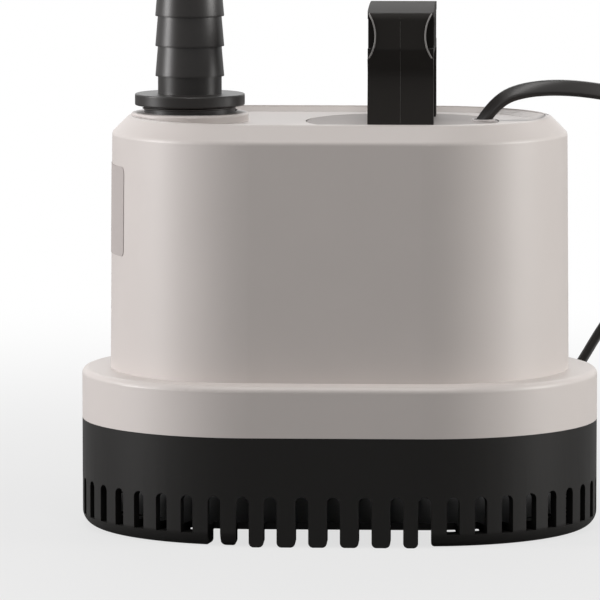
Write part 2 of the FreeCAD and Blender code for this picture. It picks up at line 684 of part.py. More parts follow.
def make_motor_floor():
    """Plate that closes the motor space, with the blind well that the rotor turns in."""
    body = new_body("motor_floor")
    slab(body, f"{SKIRT_INSIDE} - lip_slip", FLOOR_BOTTOM, "floor_thickness")
    inside_top = f"{WELL_TOP} + boot_depth"
    well = new_sketch(body, "XZ_Plane", across="rotor_offset")
    outline(well, [
        ("0", FLOOR_BOTTOM), (f"{WELL_RADIUS} + well_wall", FLOOR_BOTTOM),
        (f"{WELL_RADIUS} + well_wall", f"{WELL_TOP} + well_wall", "1.5"),
        ("boot_radius + well_wall", f"{WELL_TOP} + well_wall"),
        ("boot_radius + well_wall", f"{inside_top} + well_wall"), ("0", f"{inside_top} + well_wall"),
    ])
    turn(body, well)
    disc(body, WELL_RADIUS, FLOOR_BOTTOM, f"{WELL_TOP} - {FLOOR_BOTTOM}", "rotor_offset", cut=True)
    disc(body, "boot_radius", WELL_TOP, "boot_depth", "rotor_offset", cut=True)
    disc(body, "pipe_flange_radius + lip_slip", FLOOR_BOTTOM, "floor_thickness", OUTLET_X, cut=True)
    for x, y in FLOOR_SCREWS:
        disc(body, "screw_radius", FLOOR_BOTTOM, "floor_thickness", x, y, cut=True)
    for place in volute_screw_places():
        disc(body, "screw_radius", FLOOR_BOTTOM, "floor_thickness - 1", *place, cut=True)
    return body


def make_floor_gasket():
    """Flat rubber gasket between the motor floor and the skirt's roof."""
    body = new_body("floor_gasket")
    slab(body, f"{SKIRT_INSIDE} - 2 * lip_slip", FLOOR_TOP, "gasket_thickness")
    slab(body, f"{BODY_INSIDE} + gasket_inset", FLOOR_TOP, "gasket_thickness", cut=True)
    return body


# ---- volute ----

# centres of the volute's four quarters, as factors of the step, and its screws' directions
QUARTERS = [(-0.5, 0.5), (-0.5, -0.5), (0.5, -0.5), (0.5, 0.5)]
SCREW_SPREAD = "(casing_wall + screw_head)"


def volute_screws():
    """Screw axes round the casing, in the casing's own directions."""
    places = []
    for quarter, (x, y) in enumerate(QUARTERS):
        reach = f"(volute_radius + {quarter} * throat_step + {SCREW_SPREAD})"
        angle = 45 + 90 * quarter
        places.append((f"({x} * throat_step + {reach} * cos({angle}))",
                       f"({y} * throat_step + {reach} * sin({angle}))"))
    places[0] = (f"({THROAT_MID})", f"({POT_REACH} + pipe_flange_radius + screw_head)")
    return places


def volute_screw_places():
    """The same axes in the pump's own directions."""
    return [
        (f"(rotor_offset + {x} * cos({VOLUTE_TURN}) - {y} * sin({VOLUTE_TURN}))",
         f"({x} * sin({VOLUTE_TURN}) + {y} * cos({VOLUTE_TURN}))")
        for x, y in volute_screws()
    ]


def spiral(sketch, grow):
    """Four quarter arcs, each larger than the last by one step, closed across the throat."""
    arcs = []
    for quarter, (x, y) in enumerate(QUARTERS):
        radius = f"(volute_radius + {quarter} * throat_step + {grow})"
        centre = Vector(x * number("throat_step"), y * number("throat_step"), 0)
        start = math.radians(90 * quarter)
        item = Part.ArcOfCircle(Part.Circle(centre, UP, number(radius)), start, start + math.pi / 2)
        arcs.append(sketch.addGeometry(item, False))
        bind_point(sketch, arcs[-1], 3, f"{x} * throat_step", f"{y} * throat_step")
    start, end = sketch.Geometry[arcs[0]].StartPoint, sketch.Geometry[arcs[3]].EndPoint
    throat = sketch.addGeometry(Part.LineSegment(end, start), False)
    for one, other in zip(arcs, arcs[1:]):
        sketch.addConstraint(Sketcher.Constraint("Tangent", one, 2, other, 1))
    sketch.addConstraint(Sketcher.Constraint("Coincident", arcs[3], 2, throat, 1))
    sketch.addConstraint(Sketcher.Constraint("Coincident", throat, 2, arcs[0], 1))
    sketch.addConstraint(Sketcher.Constraint("Horizontal", throat))
    bind(sketch, "DistanceY", (-1, 1, arcs[0], 1), "throat_step / 2")
    bind(sketch, "Radius", (arcs[0],), f"volute_radius + {grow}")


def volute_layer(body, grow, bottom, height, cut_away=False):
    """A layer, or a hollow, of the volute's plan: spiral, straight throat and round chamber."""
    plan = new_sketch(body, lift=bottom)
    spiral(plan, grow)
    extrude(body, plan, height, cut=cut_away)
    throat = new_sketch(body, lift=bottom)
    rectangle(throat, f"{THROAT_IN} - {grow}", f"{THROAT_OUT} + {grow}", "throat_step / 4", POT_REACH)
    extrude(body, throat, height, cut=cut_away)
    disc(body, f"well_pot_radius + {grow}", bottom, height, THROAT_MID, POT_REACH, cut=cut_away)


def volute_body(label):
    """A body on the rotor axis, turned so that the throat runs to the discharge pipe."""
    body = new_body(label, x="rotor_offset")
    body.setExpression("Placement.Rotation.Angle", bound(VOLUTE_TURN))
    return body


def make_volute_casing():
    """Spiral casing, open downwards, with the roof that the rotor passes through."""
    body = volute_body("volute_casing")
    volute_layer(body, "casing_wall", CASING_BOTTOM, "casing_height")
    disc(body, "pipe_flange_radius", CASING_BOTTOM, "casing_height", THROAT_MID, POT_REACH)
    for x, y in volute_screws():
        disc(body, "screw_head + casing_wall / 2", CASING_BOTTOM, "casing_height", x, y)
    volute_layer(body, "0", CASING_BOTTOM, "casing_height - casing_wall", cut_away=True)
    disc(body, WELL_RADIUS, CASING_BOTTOM, "casing_height", cut=True)
    disc(body, "pipe_bore", CASING_BOTTOM, "casing_height", THROAT_MID, POT_REACH, cut=True)
    for x, y in volute_screws():
        disc(body, "screw_radius", CASING_BOTTOM, "casing_height", x, y, cut=True)
    return body


def make_cover_seal():
    """Gasket that follows the casing's wall."""
    body = volute_body("cover_seal")
    volute_layer(body, "casing_wall * 0.8", COVER_TOP, "cover_gasket")
    volute_layer(body, "casing_wall * 0.2", COVER_TOP, "cover_gasket", cut_away=True)
    return body


def make_volute_cover():
    """Cover with the inlet eye, whose three-armed spider holds the shaft's lower end."""
    body = volute_body("volute_cover")
    volute_layer(body, "casing_wall", COVER_BOTTOM, "cover_thickness")
    disc(body, "pipe_flange_radius", COVER_BOTTOM, "cover_thickness", THROAT_MID, POT_REACH)
    for x, y in volute_screws():
        disc(body, "screw_head + casing_wall / 2", COVER_BOTTOM, "cover_thickness", x, y)
    disc(body, "eye_radius + eye_wall", HUB_BOTTOM, "eye_drop")
    disc(body, "eye_radius", HUB_BOTTOM, "eye_drop + cover_thickness", cut=True)
    disc(body, "spider_hub", HUB_BOTTOM, "eye_drop + cover_thickness")
    arm = new_sketch(body, lift=HUB_BOTTOM)
    rectangle(arm, "-spider_arm / 2", "spider_arm / 2", "lower_boot_radius + 1", "eye_radius + eye_wall / 2")
    around(body, extrude(body, arm, "eye_drop"), arm, 360, 3)
    disc(body, "lower_boot_radius", f"{HUB_BOTTOM} + 1", "eye_drop + cover_thickness - 1", cut=True)
    for x, y in volute_screws():
        disc(body, "screw_radius", COVER_BOTTOM, "cover_thickness", x, y, cut=True)
    return body


# ---- rotor ----

def make_impeller():
    """Impeller with straight vanes, because the motor may start either way, and its long sleeve."""
    plate_top = f"({FLOOR_BOTTOM} - casing_wall - impeller_gap)"
    plate_bottom = f"({plate_top} - impeller_plate)"
    body = turned_piece("impeller", [
        (SLEEVE_BORE, ROTOR_BOTTOM), ("sleeve_radius - 0.8", ROTOR_BOTTOM), ("sleeve_radius", plate_bottom),
        ("impeller_radius", plate_bottom), ("impeller_radius", plate_top), ("sleeve_radius + 2", plate_top),
        ("sleeve_radius + 2", MAGNET_BOTTOM), ("sleeve_radius", MAGNET_BOTTOM),
        ("sleeve_radius", ROTOR_TOP), (SLEEVE_BORE, ROTOR_TOP),
    ], x="rotor_offset")
    vane = new_sketch(body, lift=f"{plate_bottom} - vane_height")
    rectangle(vane, "-vane_thickness / 2", "vane_thickness / 2", "sleeve_radius - 1.5", "impeller_radius")
    around(body, extrude(body, vane, "vane_height"), vane, 360, whole("vane_count"))
    return body


def make_rotor_parts():
    """Magnet, shaft, boots and washers on the rotor axis."""
    axis = ("rotor_offset", "0")
    ring("rotor_magnet", "magnet_radius", "sleeve_radius", "magnet_length", *axis, MAGNET_BOTTOM)
    shaft_bottom = f"({HUB_BOTTOM} + 2)"
    shaft_top = f"({WELL_TOP} + boot_depth - 1)"
    cylinder("rotor_shaft", "shaft_radius", f"{shaft_top} - {shaft_bottom}", *axis, shaft_bottom)
    reach = "boot_depth"
    boot = cylinder("upper_boot_rubber", "boot_radius", reach, *axis, WELL_TOP)
    hole = cylinder("upper_boot_hole", "shaft_radius", f"{reach} - 1", *axis, WELL_TOP)
    cut("upper_bearing", boot, hole)
    depth = "(eye_drop + cover_thickness - 1)"
    boot = cylinder("lower_boot_rubber", "lower_boot_radius", depth, *axis, f"{HUB_BOTTOM} + 1")
    hole = cylinder("lower_boot_hole", "shaft_radius", f"{depth} - 1", *axis, shaft_bottom)
    cut("lower_bearing", boot, hole)
    washers = [
        ring(f"{name}_washer", "washer_radius", "shaft_radius", "washer_thickness", *axis, height)
        for name, height in (("lower", COVER_TOP), ("upper", f"{WELL_TOP} - washer_thickness"))
    ]
    group("thrust_washers", washers)


# ---- stator ----

def make_stator_core():
    """U-shaped stack of laminations whose poles reach round the rotor well."""
    body = new_body("stator_core", x="rotor_offset", z=CORE_BOTTOM)
    inner = "(core_half_width - leg_width)"
    window_end = "leg_start + leg_length"
    plan = new_sketch(body)
    outline(plan, [
        ("-core_front", "-core_half_width", "4"), ("core_back", "-core_half_width", "4"),
        ("core_back", "core_half_width", "4"), ("-core_front", "core_half_width", "4"),
    ])
    extrude(body, plan, "core_stack")
    disc(body, f"{WELL_RADIUS} + well_wall + core_play", "0", "core_stack", cut=True)
    for left, right, reach in (
            ("leg_start", window_end, inner), ("-core_front", "leg_start", "pole_gap / 2")):
        gap = new_sketch(body)
        rectangle(gap, left, right, f"-{reach}", reach)
        extrude(body, gap, "core_stack", cut=True)
    return body


def coil_box(label, length_inset, grow, leg_sign):
    """A box round one leg of the core, grown on every side of the leg."""
    middle = f"({leg_sign}(core_half_width - leg_width / 2))"
    start, end = "rotor_offset + leg_start", "rotor_offset + leg_start + leg_length"
    return box(
        label,
        (f"{start} + {length_inset}", f"{end} - {length_inset}"),
        (f"{middle} - leg_width / 2 - {grow}", f"{middle} + leg_width / 2 + {grow}"),
        (f"{CORE_BOTTOM} - {grow}", f"{CORE_TOP} + {grow}"))


def make_coils():
    """A bobbin and a winding on each leg of the core."""
    bobbins, windings = [], []
    for name, sign in (("front", "-"), ("back", "")):
        flanges = coil_box(f"{name}_flanges", "0", "bobbin_flange", sign)
        leg = coil_box(f"{name}_leg", "0", "0", sign)
        full = coil_box(f"{name}_room", "bobbin_wall", "bobbin_flange", sign)
        tube = coil_box(f"{name}_tube", "bobbin_wall", "bobbin_wall", sign)
        space = cut(f"{name}_winding_space", full, tube)
        bobbins.append(cut(f"{name}_bobbin", cut(f"{name}_spool", flanges, leg), space))
        copper = coil_box(f"{name}_copper", "bobbin_wall", "bobbin_wall + winding_depth", sign)
        windings.append(cut(f"{name}_winding", copper, tube))
    group("coil_bobbins", bobbins)
    group("stator_windings", windings)
    top = f"{CORE_TOP} + bobbin_wall + winding_depth"
    middle = "core_half_width - leg_width / 2"
    box("thermal_cutout", ("rotor_offset + leg_start + 7", "rotor_offset + leg_start + 7 + cutout_length"),
        (f"{middle} - 3", f"{middle} + 3"), (top, f"{top} + 4"))


def size(alias):
    """A size as a number, for the shapes that are worked out in code."""
    return number(alias)


def rounded_path(points, reach=0.45):
    """Straight runs joined by tangent arcs, each as large as its two runs allow."""
    edges, radii, start = [], [], points[0]
    for before, point, after in zip(points, points[1:], points[2:]):
        back, ahead = (before - point), (after - point)
        tangent = reach * min(back.Length, ahead.Length)
        half_corner = back.getAngle(ahead) / 2
        radius = tangent * math.tan(half_corner)
        radii.append(radius)
        leave, bulge, join = corner_arc(before, point, after, radius)
        edges.append(Part.LineSegment(start, leave).toShape())
        edges.append(Part.Arc(leave, bulge, join).toShape())
        start = join
    edges.append(Part.LineSegment(start, points[-1]).toShape())
    return Part.Wire(edges), radii


def tube(points, radius):
    """A round tube along such a path, and the path's radii."""
    path, radii = rounded_path(points)
    face = Part.Wire(Part.Circle(points[0], points[1] - points[0], radius).toShape())
    solid = path.makePipeShell([face], True, True)
    return solid, path, radii


def computed(label, shape):
    """A node whose shape is worked out in code."""
    item = doc.addObject("Part::Feature", label)
    item.Label = label
    item.Shape = shape
    return item


def make_lead_wires():
    """Two insulated leads from the gland to the tops of the coils, through the resin."""
    gland_bottom = number(f"{CAP_TOP} - gland_length")
    coil_top = number(f"{CORE_TOP} + bobbin_wall + winding_depth")
    flange_top = number(f"{CORE_TOP} + bobbin_flange")
    end_x = number("rotor_offset + leg_start + leg_length - bobbin_wall - lead_inset")
    bend = size("lead_bend")
    leads = []
    for sign in (-1, 1):
        leg_y = sign * number("core_half_width - leg_width / 2 - lead_inset")
        start = Vector(number(GLAND_X), sign * size("lead_spread"), gland_bottom)
        points = [
            start, start - UP * bend, Vector(end_x + bend / 2, leg_y * 0.6, flange_top + bend),
            Vector(end_x, leg_y, flange_top + bend * 0.7), Vector(end_x, leg_y, coil_top),
        ]
        leads.append(tube(points, size("lead_radius"))[0])
    return computed("lead_wires", Part.makeCompound(leads))


def make_potting_resin():
    """Resin that fills the motor space round everything in it."""
    body = new_body("resin_block")
    slab(body, BODY_INSIDE, FLOOR_TOP, f"resin_height - {FLOOR_TOP}")
    doc.recompute()
    solid = body.Shape
    names = ("motor_housing", "motor_floor", "discharge_pipe", "stator_core", "coil_bobbins",
             "stator_windings", "thermal_cutout", "lead_wires", "cord_gland", "floor_screws")
    for name in names:
        solid = solid.cut(doc.getObject(name).Shape)
    largest = max(solid.Solids, key=lambda part: part.Volume)
    return computed("potting_resin", largest)


# ---- screws ----

def screw(label, x, y, head_face, length):
    """A pan-headed screw that goes up from its head's face; its thread is plain."""
    head_bottom = f"{head_face} - screw_head_depth"
    head = cylinder(f"{label}_head", "screw_head", "screw_head_depth", x, y, head_bottom)
    shank = cylinder(f"{label}_shank", "screw_radius", length, x, y, head_face)
    item = doc.addObject("Part::Fuse", label)
    item.Base = head
    item.Tool = shank
    return item


def make_screws():
    """The three sets of screws: motor floor, volute cover and handle."""
    group("floor_screws", [
        screw(f"floor_screw_{i}", x, y, FLOOR_BOTTOM, "floor_thickness + screw_grip")
        for i, (x, y) in enumerate(FLOOR_SCREWS)])
    cover_screw_length = f"{FLOOR_TOP} - 1 - {COVER_BOTTOM}"
    group("cover_screws", [
        screw(f"cover_screw_{i}", x, y, COVER_BOTTOM, cover_screw_length)
        for i, (x, y) in enumerate(volute_screw_places())])
    group("handle_screws", [
        screw(f"handle_screw_{i}", f"(cap_offset + {x})", y, CAP_BOTTOM, "cap_depth + screw_grip")
        for i, (x, y) in enumerate(GRIP_SCREWS)])


# ---- strainer ----

def slot_outline(sketch, bottom, flared):
    """An upright slot with a round top; an open one flares round the feet of its teeth."""
    half, top = "slot_width / 2", "slot_top"
    right = [(half, bottom)]
    if flared:
        right = [(f"{half} + tooth_round * 1.2", bottom), (f"{half} + tooth_round * 1.2", "0"),
                 (half, "0", "tooth_round")]
    right.append((half, top, f"{half} * 0.96"))
    left = [(f"-({corner[0]})", *corner[1:]) for corner in right]
    outline(sketch, right + left[::-1])


FIRST_SLOT = "(90 - end_pitch * (end_slots - 1) / 2)"


def end_slot(body, sign, index, back, flared):
    """One slot of a rounded end, counted from the front or the back, cut straight inwards."""
    angle = f"(90 - end_pitch * ((end_slots - 1) / 2 - {index}))"
    sketch = body.newObject("Sketcher::SketchObject", "strainer_slot")
    sketch.AttachmentSupport = [(plane_of(body, "XZ_Plane"), "")]
    sketch.MapMode = "FlatFace"
    outward = "" if not back else "-"
    x = f"{sign}({HALF} + (skirt_radius + 1) * sin({angle}))"
    depth = f"{outward}((skirt_radius + 1) * cos({angle}))"
    sketch.setExpression("AttachmentOffset.Base.x", bound(x))
    sketch.setExpression("AttachmentOffset.Base.z", bound(depth))
    sketch.AttachmentOffset = FreeCAD.Placement(
        Vector(number(x), 0, number(depth)), FreeCAD.Rotation(Vector(0, 1, 0), 0))
    turn_angle = f"{sign}{angle}" if not back else f"180 - ({sign}{angle})"
    sketch.setExpression("AttachmentOffset.Rotation.Angle", bound(turn_angle))
    slot_outline(sketch, "slot_bottom" if not flared else "-1", flared)
    return extrude(body, sketch, "slot_depth + 1", cut=True, upward=False)


def make_strainer_base():
    """Black base: a comb of suction slots round a raised bottom plate, and a locating lip."""
    body = new_body("strainer_base")
    foot = slab(body, "skirt_radius", "0", "joint_height")
    dress(body, foot, "Fillet", edges_at(foot, "0"), "heel_round")
    comb_end = f"({HALF} + skirt_radius * sin({FIRST_SLOT}))"
    for side in ("", "-"):
        comb = new_sketch(body)
        rectangle(comb, f"-{comb_end}", comb_end, f"{side}(skirt_radius - rim_width)", f"{side}skirt_radius")
        extrude(body, comb, "heel_round")
    slab(body, f"{SKIRT_INSIDE} - lip_slip", "joint_height", "locating_lip")
    floor_top = "(plate_height + plate_thickness)"
    slab(body, f"{SKIRT_INSIDE} - lip_slip - lip_thickness", floor_top,
         f"joint_height + locating_lip - {floor_top}", cut=True)
    chamber_height = f"joint_height - lip_thickness - {floor_top}"
    slab(body, "skirt_radius - strainer_wall", floor_top, chamber_height, cut=True)
    slab(body, "skirt_radius - rim_width", "0", "plate_height", cut=True)
    for back in (False, True):
        side = new_sketch(body, "XZ_Plane", lift=f"{'-' if back else ''}(skirt_radius + 1)",
                          across="-side_pitch * (side_slots - 1) / 2")
        slot_outline(side, "-1", flared=True)
        slot = extrude(body, side, "slot_depth + 1", cut=True, upward=back)
        row = body.newObject("PartDesign::LinearPattern", "side_slot_row")
        row.Originals = [slot]
        row.Direction = (side, ["H_Axis"])
        row.setExpression("Length", bound("side_pitch * (side_slots - 1)"))
        row.Occurrences = whole("side_slots")
        body.Tip = row
    for sign, open_slots in (("", 1), ("-", 2)):
        for back in (False, True):
            for index in range(open_slots):
                end_slot(body, sign, index, back, flared=True)
        closed = whole("end_slots") - 2 * open_slots
        first = end_slot(body, sign, open_slots, False, flared=False)
        centre = new_sketch(body)
        circle(centre, "1")
        centre.setExpression("AttachmentOffset.Base.x", bound(f"{sign}({HALF})"))
        pattern = around(body, first, centre, 1, closed)
        pattern.setExpression("Angle", bound(f"end_pitch * {closed - 1}"))
        pattern.Reversed = sign == "-"
    return body


# ---- cord and plug ----

# the lead's route: out of the gland, over the deck's end, down behind the pump to the coil
CORD_ROUTE = [
    Vector(50.6, 0, 145.3), Vector(56.4, 0, 155.0), Vector(68.9, 0.5, 159.6), Vector(88, 3, 159.6),
    Vector(113, 14, 153.8), Vector(128, 34, 118), Vector(118, 54, 89), Vector(102, 64, 75),
    Vector(82, 66.5, 40), Vector(54, 73.3, 3.6), Vector(7.6, 80.7, 3.9),
]
COIL_CENTRE = Vector(14.5, 124.05, 0)
TAIL_ROUTE = [Vector(-0.5, 82.8, 9.9), Vector(-12.9, 87.3, 8.9), Vector(-26.5, 93.2, 6.85)]
PLUG_WAY = Vector(-0.917, 0.3989, 0)


def make_cords():
    """The lead's two free stretches, its coil and the coil's tie."""
    radius = size("cord_radius")
    for label, route in (("power_cord", CORD_ROUTE), ("cord_tail", TAIL_ROUTE)):
        solid, path, radii = tube(route, radius)
        computed(label, solid)
        wanted = math.pi * radius ** 2 * path.Length
        print(label, "length", round(path.Length, 1), "radii", [round(r, 1) for r in radii],
              "volume ratio", round(solid.Volume / wanted, 4))
    middle = (str(COIL_CENTRE.x), str(COIL_CENTRE.y))
    ring("cord_coil", "coil_outer", "coil_inner", "coil_height", *middle, "coil_lift")
    across = (f"{COIL_CENTRE.y} - tie_width / 2", f"{COIL_CENTRE.y} + tie_width / 2")
    inner, outer = f"{COIL_CENTRE.x} + coil_inner - tie_slack", f"{COIL_CENTRE.x} + coil_outer + tie_play"
    low, high = "coil_lift - tie_play", "coil_lift + coil_height + tie_play"
    band = box("tie_outside", (f"{inner} - tie_thickness", f"{outer} + tie_thickness"), across,
               (f"{low} - tie_thickness", f"{high} + tie_thickness"))
    cut("coil_tie", band, box("tie_inside", (inner, outer), across, (low, high)))


def make_plug():
    """Flat two-pin plug lying beside the coil, and its pins."""
    start = TAIL_ROUTE[-1] + Vector(PLUG_WAY).normalize() * size("plug_gap")
    placement = FreeCAD.Placement(start, FreeCAD.Rotation(Vector(1, 0, 0), PLUG_WAY))
    body = new_body("plug_body")
    plan = new_sketch(body)
    half, tail = "plug_width / 2", "plug_tail / 2"
    outline(plan, [
        ("0", f"-{tail}", "3"), ("plug_length * 0.45", f"-{tail} - 1.5", "12"),
        ("plug_length - 7", f"-{half}", "6"),
        ("plug_length", f"-{half} + 3", "2"), ("plug_length", f"{half} - 3", "2"),
        ("plug_length - 7", half, "6"), ("plug_length * 0.45", f"{tail} + 1.5", "12"), ("0", tail, "3"),
    ])
    pad = extrude(body, plan, "plug_depth", symmetric=True)
    doc.recompute()
    dress(body, pad, "Fillet", edges_at(pad, "plug_depth / 2", "-plug_depth / 2"), "plug_depth * 0.09")
    body.Placement = placement
    pins = []
    for sign in (-1, 1):
        root = Vector(size("plug_length"), sign * size("pin_spacing") / 2, 0)
        pins.append(Part.makeCylinder(size("pin_radius"), size("pin_length"), root, Vector(1, 0, 0)))
    item = computed("plug_pins", Part.makeCompound(pins))
    item.Placement = placement


# ---- the whole pump ----

make_motor_housing()
make_top_cap()
make_carry_handle()
make_cord_gland(CORD_ROUTE[0], CORD_ROUTE[1] - CORD_ROUTE[0])
make_hose_barb()
make_fitting_seal()
make_discharge_pipe()
make_motor_floor()
make_floor_gasket()
make_volute_casing()
make_cover_seal()
make_volute_cover()
make_impeller()
make_rotor_parts()
make_stator_core()
make_coils()
make_screws()
make_strainer_base()
make_cords()
make_plug()
doc.recompute()
make_lead_wires()
make_potting_resin()
doc.recompute()

NODES = [
    "motor_housing", "top_cap", "carry_handle", "handle_screws", "cord_gland", "hose_barb", "fitting_seal",
    "discharge_pipe", "motor_floor", "floor_gasket", "floor_screws", "volute_casing", "cover_seal",
    "volute_cover", "cover_screws", "impeller", "rotor_magnet", "rotor_shaft", "upper_bearing",
    "lower_bearing", "thrust_washers", "stator_core", "coil_bobbins", "stator_windings", "thermal_cutout",
    "lead_wires", "potting_resin", "strainer_base", "power_cord", "cord_coil", "coil_tie", "cord_tail",
    "plug_body", "plug_pins",
]

for item in doc.Objects:
    if {"Invalid", "Error"} & set(item.State):
        raise RuntimeError(f"{item.Name} did not build: {item.State}")
os.makedirs("parts", exist_ok=True)
for node in NODES:
    shape = doc.getObject(node).Shape
    if shape.isNull() or not shape.isValid() or not shape.Solids:
        raise RuntimeError(f"{node} has no valid solid")
    shape.exportStep(f"parts/{node}.step")
    bounds = shape.BoundBox
    print(node, len(shape.Solids), "solids", round(shape.Volume), "mm3",
          "z", round(bounds.ZMin, 2), "to", round(bounds.ZMax, 2))
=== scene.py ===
import math
import bmesh
import bpy
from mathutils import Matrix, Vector


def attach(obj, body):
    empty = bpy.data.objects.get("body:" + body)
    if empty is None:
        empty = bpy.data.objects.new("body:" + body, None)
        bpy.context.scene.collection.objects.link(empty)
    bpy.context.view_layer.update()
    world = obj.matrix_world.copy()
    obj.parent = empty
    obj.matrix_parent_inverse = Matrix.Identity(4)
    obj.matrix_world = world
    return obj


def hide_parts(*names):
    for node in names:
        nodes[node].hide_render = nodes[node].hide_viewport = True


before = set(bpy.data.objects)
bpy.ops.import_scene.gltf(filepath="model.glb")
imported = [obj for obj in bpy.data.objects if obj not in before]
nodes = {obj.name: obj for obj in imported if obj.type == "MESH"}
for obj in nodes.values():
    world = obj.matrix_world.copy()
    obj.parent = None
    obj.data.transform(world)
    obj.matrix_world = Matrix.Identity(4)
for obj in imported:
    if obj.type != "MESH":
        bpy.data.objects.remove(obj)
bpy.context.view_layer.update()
scene = bpy.context.scene


# ---- camera ----
# A long lens, far off, a little above the deck and a little to the right. It aims at the middle
# of the pump, and the view keeps colours as they are written.

AIM = Vector((-0.01445, 0.0, 0.0818))
AZIMUTH, ELEVATION, DISTANCE = math.radians(2.34), math.radians(6.31), 2.205
SENSOR_WIDTH, FOCAL_LENGTH = 36, 362.5
away = Vector((
    math.sin(AZIMUTH) * math.cos(ELEVATION), -math.cos(AZIMUTH) * math.cos(ELEVATION), math.sin(ELEVATION)))
camera = bpy.data.objects.new("camera", bpy.data.cameras.new("camera"))
scene.collection.objects.link(camera)
camera.location = AIM + away * DISTANCE
camera.rotation_euler = away.to_track_quat("Z", "Y").to_euler()
camera.data.sensor_width = SENSOR_WIDTH
camera.data.lens = FOCAL_LENGTH
camera.data.clip_start = 0.05
camera.data.clip_end = 20
scene.camera = camera
scene.view_settings.view_transform = "Standard"


# ---- floor and light ----
# A pale floor that fades into a white surround, a large soft lamp high in front, one low at each
# side and one high at the back. The front of the pump stays darker than its rounded ends.

FLOOR_RADIUS, FLOOR_SEGMENTS, FLOOR_GREY = 6.0, 96, 0.30
FADE_FROM, FADE_TO, GLOW_AT_PUMP = 0.10, 0.75, 0.72
SURROUND_TINT, SURROUND_LIGHT = (0.97, 0.98, 1, 1), 0.05
WHITE = (1, 1, 1, 1)
PUMP_MIDDLE, BEHIND_PUMP = (0, 0, 0.09), (0, 0.2, 0)


def finished_piece(name, bm, crease=180):
    """An object of a finished bmesh, its faces turned outwards and shaded smooth up to an angle."""
    bmesh.ops.recalc_face_normals(bm, faces=bm.faces)
    mesh = bpy.data.meshes.new(name)
    bm.to_mesh(mesh)
    bm.free()
    mesh.shade_smooth()
    mesh.set_sharp_from_angle(angle=math.radians(crease))
    obj = bpy.data.objects.new(name, mesh)
    scene.collection.objects.link(obj)
    return obj


def maths(tree, operation, *values):
    """What a maths node gives for numbers or for what other nodes put out."""
    node = tree.nodes.new("ShaderNodeMath")
    node.operation = operation
    for socket, value in zip(node.inputs, values):
        if isinstance(value, (int, float)):
            socket.default_value = value
        else:
            tree.links.new(value, socket)
    return node.outputs["Value"]


def blended(tree, share, one, other, surface):
    """Two shaders mixed by a share, put on a material's or the world's surface."""
    blend = tree.nodes.new("ShaderNodeMixShader")
    tree.links.new(share, blend.inputs["Fac"])
    tree.links.new(one, blend.inputs[1])
    tree.links.new(other, blend.inputs[2])
    tree.links.new(blend.outputs["Shader"], surface)


def soft_box(name, place, aim, width, height, power, color=(1, 1, 1)):
    """A rectangular soft lamp that faces a point."""
    lamp = bpy.data.lights.new(name, "AREA")
    lamp.shape = "RECTANGLE"
    lamp.size, lamp.size_y = width, height
    lamp.energy = power
    lamp.color = color
    obj = bpy.data.objects.new(name, lamp)
    scene.collection.objects.link(obj)
    obj.location = place
    obj.rotation_euler = (Vector(place) - Vector(aim)).to_track_quat("Z", "Y").to_euler()


bm = bmesh.new()
bmesh.ops.create_circle(bm, cap_ends=True, segments=FLOOR_SEGMENTS, radius=FLOOR_RADIUS)
floor = finished_piece("floor", bm)
floor_material = bpy.data.materials.new("pale_floor")
floor_material.use_nodes = True
tree = floor_material.node_tree
shader = tree.nodes["Principled BSDF"]
shader.inputs["Base Color"].default_value = (FLOOR_GREY, FLOOR_GREY, FLOOR_GREY, 1)
shader.inputs["Roughness"].default_value = 0.7
shader.inputs["Specular IOR Level"].default_value = 0.1
glow = tree.nodes.new("ShaderNodeEmission")
glow.inputs["Color"].default_value = WHITE
place = tree.nodes.new("ShaderNodeTexCoord")
distance = tree.nodes.new("ShaderNodeVectorMath")
distance.operation = "LENGTH"
tree.links.new(place.outputs["Object"], distance.inputs[0])
fade = tree.nodes.new("ShaderNodeMapRange")
fade.interpolation_type = "SMOOTHSTEP"
fade.inputs["From Min"].default_value = FADE_FROM
fade.inputs["From Max"].default_value = FADE_TO
fade.inputs["To Min"].default_value = GLOW_AT_PUMP
fade.inputs["To Max"].default_value = 1.0
tree.links.new(distance.outputs["Value"], fade.inputs["Value"])
rays = tree.nodes.new("ShaderNodeLightPath")
seen = maths(tree, "MULTIPLY", rays.outputs["Is Camera Ray"], fade.outputs["Result"])
blended(tree, seen, shader.outputs["BSDF"], glow.outputs["Emission"],
        tree.nodes["Material Output"].inputs["Surface"])
floor.data.materials.append(floor_material)

world = bpy.data.worlds.new("white_surround")
scene.world = world
world.use_nodes = True
tree = world.node_tree
tree.nodes.clear()
white = tree.nodes.new("ShaderNodeBackground")
white.inputs["Color"].default_value = WHITE
soft = tree.nodes.new("ShaderNodeBackground")
soft.inputs["Color"].default_value = SURROUND_TINT
soft.inputs["Strength"].default_value = SURROUND_LIGHT
rays = tree.nodes.new("ShaderNodeLightPath")
mirrored = maths(tree, "MAXIMUM", rays.outputs["Is Camera Ray"], rays.outputs["Is Glossy Ray"])
shown = maths(tree, "MAXIMUM", mirrored, rays.outputs["Is Transmission Ray"])
blended(tree, shown, soft.outputs["Background"], white.outputs["Background"],
        tree.nodes.new("ShaderNodeOutputWorld").inputs["Surface"])

soft_box("high_front", (0, -0.62, 1.97), PUMP_MIDDLE, 1.0, 0.7, 16.0, (1, 0.985, 0.97))
soft_box("left_side", (-1.36, -0.24, 0.42), PUMP_MIDDLE, 0.4, 0.5, 18.0, (1, 0.985, 0.985))
soft_box("right_side", (1.38, -0.18, 0.40), PUMP_MIDDLE, 0.6, 0.6, 16.5, (1, 0.985, 0.965))
soft_box("high_back", (0, 1.6, 1.3), BEHIND_PUMP, 1.6, 0.8, 10.0)


# ---- strainer base ----
# The black foot that the pump stands on: one moulding with a comb of suction slots round a raised
# bottom plate. It snaps into the skirt of the housing, and its edges are softly rounded.

